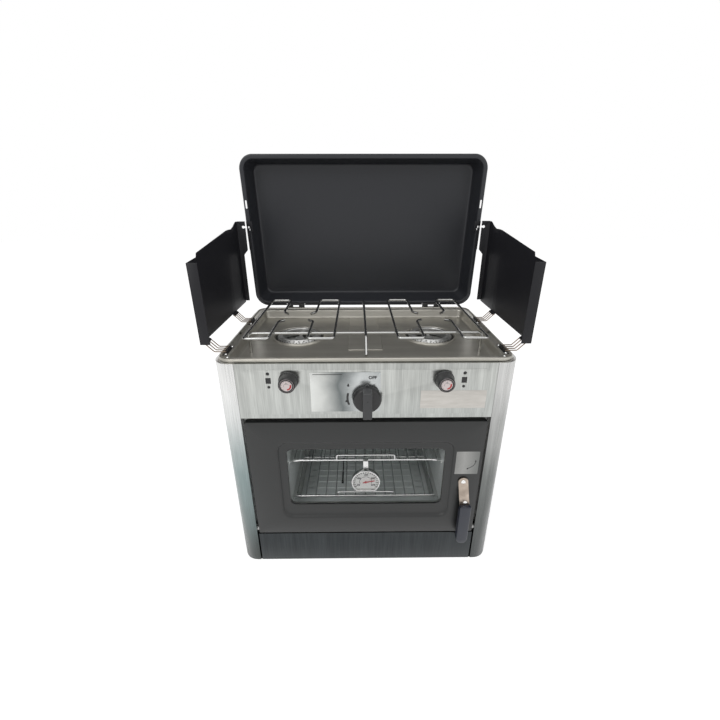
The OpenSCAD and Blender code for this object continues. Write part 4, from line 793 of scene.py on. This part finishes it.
def makeOvenKnob(s):
    x, z = s["centre"]
    r, back, half = s["radius"], s["back"], s["bar"] / 2
    skirt = bmesh.new()
    turned(skirt, softPath(s["skirt"], 1.0), (x, back, z), (0, -1, 0), 64)
    tidied(skirt)
    makePiece(skirt, "ovenKnobSkirt", "handle_oven", blackPlastic)
    grip = bmesh.new()
    block(grip, (x - half, back - s["depth"], z - r - 1), (x + half, back - 7, z + r - 1), s["edge"], 4)
    radius, length, offset = s["pointer"]
    drum(grip, (x, back - offset, z + r - 1), (0, 1, 0), radius, length)
    bmesh.ops.recalc_face_normals(grip, faces=grip.faces)
    knob = makePiece(grip, "ovenKnobGrip", "handle_oven", greyPlastic)
    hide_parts("knob_oven")
    dot = bmesh.new()
    radius, length, offset = s["dot"]
    drum(dot, (x, back - s["depth"] + 0.05, z + offset), (0, 1, 0), radius, length)
    makePiece(dot, "ovenKnobDot", "handle_oven", blackPlastic)


makeOvenKnob(ovenKnob)
edgeWidths = dict(knob_left=0.25, knob_right=0.25, fascia=0.35, kick_panel=0.35, side_panel_left=0.35,
                  side_panel_right=0.35, latch_strap=0.45, latch_grip=2.2, shield_left=0.3,
                  shield_right=0.3, thermometer_case=0.5, lid_catches=0.3, lid_hinges=0.35,
                  dial_plate=0.1, latch_plate=0.1, fascia_fixings=0.4, rear_panel=0.3)
for name, width in edgeWidths.items():
    softened(name, width, 3 if width > 1 else 2)
print("knobs and edges made")


# marks on the dial plate: generic signs only
plateMarks = dict(face=-164.28, word="OFF", wordHeight=5.6, wordPlace=(10.5, 435.2),
                  rule=(-91, -41, 441, 442.1), flames=((-31, 421.6, 1.0), (-35, 390.5, 0.8)),
                  arcCentre=(1.3, 396.5), arcRadius=34, arcWidth=3.6, arcTurn=(164, 204))
flameOutline = [(-2.2, -2.4), (0, -3.4), (2.2, -2.4), (1.4, 0.4), (0, 3.6), (-1.6, 0.2)]


def makePlateMarks(s):
    bm = bmesh.new()
    y = s["face"]
    x, z = s["wordPlace"]
    words(bm, s["word"], s["wordHeight"], (x, y, z))
    left, right, low, high = s["rule"]
    block(bm, (left, y - 0.03, low), (right, y + 0.03, high))
    for x, z, size in s["flames"]:
        flatMark(bm, (x, y, z), [(across * size, up * size) for across, up in flameOutline])
    x, z = s["arcCentre"]
    arcStroke(bm, (x, y, z), s["arcRadius"], s["arcWidth"], *s["arcTurn"], 0.15)
    makePiece(bm, "dialPlateMarks", "casing", markBlack)


makePlateMarks(plateMarks)


# small dials: rim, ticks and a red arc on each
smallDial = dict(x=131.5, z=432.5, face=-188.46, ticks=11, tickRadius=8.1, tickStep=27, firstTick=225,
                 rim=[(9.4, 0), (9.7, 0.7), (10.2, 1.0), (11.1, 0.9), (11.5, 0.4), (11.5, -0.4)])


def makeDialMarks(side, body, s):
    centre = Vector((side * s["x"], s["face"], s["z"]))
    grey, red, rim = bmesh.new(), bmesh.new(), bmesh.new()
    for i in range(s["ticks"]):
        angle = s["firstTick"] - s["tickStep"] * i
        arcStroke(grey, centre, s["tickRadius"], 1.6, angle - 2.4, angle + 2.4, 1, 2)
    words(grey, "0", 3.0, centre + Vector((-0.2, 0, 4.2)))
    arcStroke(grey, centre, 4.4, 0.6, 200, 20, 1, 20)
    arcStroke(red, centre, 6.8, 2.4, 20, -85, 0.3, 16)
    turned(rim, s["rim"], centre, (0, -1, 0), 64)
    tidied(rim)
    makePiece(rim, "dialRim" + body, body, blackPlastic)
    makePiece(grey, "dialTicks" + body, body, markGrey)
    makePiece(red, "dialArc" + body, body, needleRed)


makeDialMarks(-1, "handle_left", smallDial)
makeDialMarks(1, "handle_right", smallDial)


# thermometer: ticks, an inner arc and numbers
thermoMarks = dict(place=(0, -141.6, 193), ticks=21, tickStep=12, firstTick=210, tickRadius=22.6,
                   numbers=(50, 100, 150, 200, 250), numberStep=60, numberRadius=16.6, numberHeight=4.0)


def makeThermoMarks(s):
    bm = bmesh.new()
    centre = Vector(s["place"])
    for i in range(s["ticks"]):
        angle = s["firstTick"] - s["tickStep"] * i
        arcStroke(bm, centre, s["tickRadius"], 3.0 if i % 3 else 4.6, angle - 1.9, angle + 1.9, 1, 2)
    arcStroke(bm, centre, 12.2, 0.8, 205, -25, 1, 24)
    for i, number in enumerate(s["numbers"]):
        angle = math.radians(s["firstTick"] - s["numberStep"] * i)
        way = Vector((math.cos(angle), 0, math.sin(angle)))
        words(bm, str(number), s["numberHeight"], centre + way * s["numberRadius"])
    makePiece(bm, "thermometerMarks", "upper_rack", markBlack)


makeThermoMarks(thermoMarks)


# latch plate: swing sign of the grip; and the bare foil at the right of the fascia
latchMarks = dict(face=-163.46, arcCentre=(188, 261), arcRadius=19, arcTurn=(-12, -74),
                  dots=((206, 259), (192.3, 241.5)))
secondFoil = dict(low=(94, 375), high=(208, 410), face=-163.8, rise=0.25, sunk=0.05)


def makeLatchMarks(s):
    bm = bmesh.new()
    y = s["face"]
    x, z = s["arcCentre"]
    arcStroke(bm, (x, y, z), s["arcRadius"], 1.2, *s["arcTurn"], 0.5, 16)
    for x, z in s["dots"]:
        drum(bm, (x, y, z), (0, 1, 0), 1.6, 0.05)
    makePiece(bm, "latchPlateMarks", "door", markBlack)


def makeFoil(s):
    bm = bmesh.new()
    left, low = s["low"]
    right, high = s["high"]
    block(bm, (left, s["face"] - s["rise"], low), (right, s["face"] + s["sunk"], high), 0.1)
    makePiece(bm, "bareFoil", "casing", foilFinish)


makeLatchMarks(latchMarks)
makeFoil(secondFoil)
print("marks made")


# small fasteners: screws at the edges of the back
screwForm = dict(radius=3.0, rise=1.3, across=(-212, 212), back=163.0, heights=(24, 170, 316, 446))


def makeScrews(s):
    bm = bmesh.new()
    r, rise = s["radius"], s["rise"]
    head = [(r, -0.1), (r, 0.4), (r * 0.75, rise * 0.85), (r * 0.35, rise)]
    drive = [(r * 0.35, rise), (r * 0.3, rise - 0.5), (0.01, rise - 0.6)]
    for x in s["across"]:
        for z in s["heights"]:
            turned(bm, head, (x, s["back"], z), (0, 1, 0), 20)
            turned(bm, drive, (x, s["back"], z), (0, 1, 0), 4)
    tidied(bm)
    makePiece(bm, "rearScrews", "casing", screwSteel)


makeScrews(screwForm)
print("screws made")


# light and floor
studio = dict(world=0.45, floorSize=6, floorTone=0.86, floorGlow=0.64, lamps=(
    ("keyLamp", (-1.2, -1.6, 1.9), (0, 0, 0.3), (1.2, 1.2), 13),
    ("fillLamp", (1.5, -1.3, 1.2), (0, 0, 0.3), (1.2, 1.2), 4),
    ("topLamp", (0, -0.2, 2.3), (0, 0, 0.4), (1.6, 1.6), 8)))  # name, place, aim, size, power


def areaLamp(name, place, aim, size, power):
    data = bpy.data.lights.new(name, "AREA")
    data.shape = "RECTANGLE"
    data.size, data.size_y = size
    data.energy = power
    lamp = bpy.data.objects.new(name, data)
    bpy.context.collection.objects.link(lamp)
    lamp.location = place
    lamp.rotation_mode = "QUATERNION"
    lamp.rotation_quaternion = (Vector(aim) - Vector(place)).to_track_quat("-Z", "Y")


def seenRays(tree):
    # 1 for rays that show the background: from the camera, off gloss or through glass
    path = addNode(tree, "ShaderNodeLightPath")
    direct = addNode(tree, "ShaderNodeMath", operation="MAXIMUM")
    seen = addNode(tree, "ShaderNodeMath", operation="MAXIMUM")
    tree.links.new(path.outputs["Is Camera Ray"], direct.inputs[0])
    tree.links.new(path.outputs["Is Glossy Ray"], direct.inputs[1])
    tree.links.new(direct.outputs[0], seen.inputs[0])
    tree.links.new(path.outputs["Is Transmission Ray"], seen.inputs[1])
    return seen.outputs[0]


def makeWorld(s):
    world = bpy.data.worlds.new("studioWorld")
    bpy.context.scene.world = world
    world.use_nodes = True
    tree = world.node_tree
    tree.nodes.clear()
    out = addNode(tree, "ShaderNodeOutputWorld")
    soft = addNode(tree, "ShaderNodeBackground", Strength=s["world"])
    white = addNode(tree, "ShaderNodeBackground", Strength=1.0)
    white.inputs["Color"].default_value = (1, 1, 1, 1)
    soft.inputs["Color"].default_value = (1, 1, 1, 1)
    mix = addNode(tree, "ShaderNodeMixShader")
    tree.links.new(seenRays(tree), mix.inputs[0])
    tree.links.new(soft.outputs[0], mix.inputs[1])
    tree.links.new(white.outputs[0], mix.inputs[2])
    tree.links.new(mix.outputs[0], out.inputs["Surface"])


def makeFloor(s):
    # pale paper that looks white from outside and still takes the object's shadow
    bm = bmesh.new()
    bmesh.ops.create_grid(bm, x_segments=1, y_segments=1, size=s["floorSize"])
    data = bpy.data.meshes.new("floor")
    bm.to_mesh(data)
    bm.free()
    floor = bpy.data.objects.new("floor", data)
    bpy.context.collection.objects.link(floor)
    mat, tree, shader = newMaterial("floorPaper")
    tone = s["floorTone"]
    shader.inputs["Base Color"].default_value = (tone, tone, tone, 1)
    shader.inputs["Roughness"].default_value = 0.9
    shader.inputs["Specular IOR Level"].default_value = 0.1
    glow = addNode(tree, "ShaderNodeEmission", Strength=s["floorGlow"])
    lit = addNode(tree, "ShaderNodeAddShader")
    pick = addNode(tree, "ShaderNodeMixShader")
    tree.links.new(shader.outputs[0], lit.inputs[0])
    tree.links.new(glow.outputs[0], lit.inputs[1])
    tree.links.new(seenRays(tree), pick.inputs[0])
    tree.links.new(shader.outputs[0], pick.inputs[1])
    tree.links.new(lit.outputs[0], pick.inputs[2])
    tree.links.new(pick.outputs[0], tree.nodes["Material Output"].inputs["Surface"])
    floor.data.materials.append(mat)


makeWorld(studio)
makeFloor(studio)
for lampName, place, aim, size, power in studio["lamps"]:
    areaLamp(lampName, place, aim, size, power)
bpy.context.scene.view_settings.view_transform = "Standard"
print("studio set")
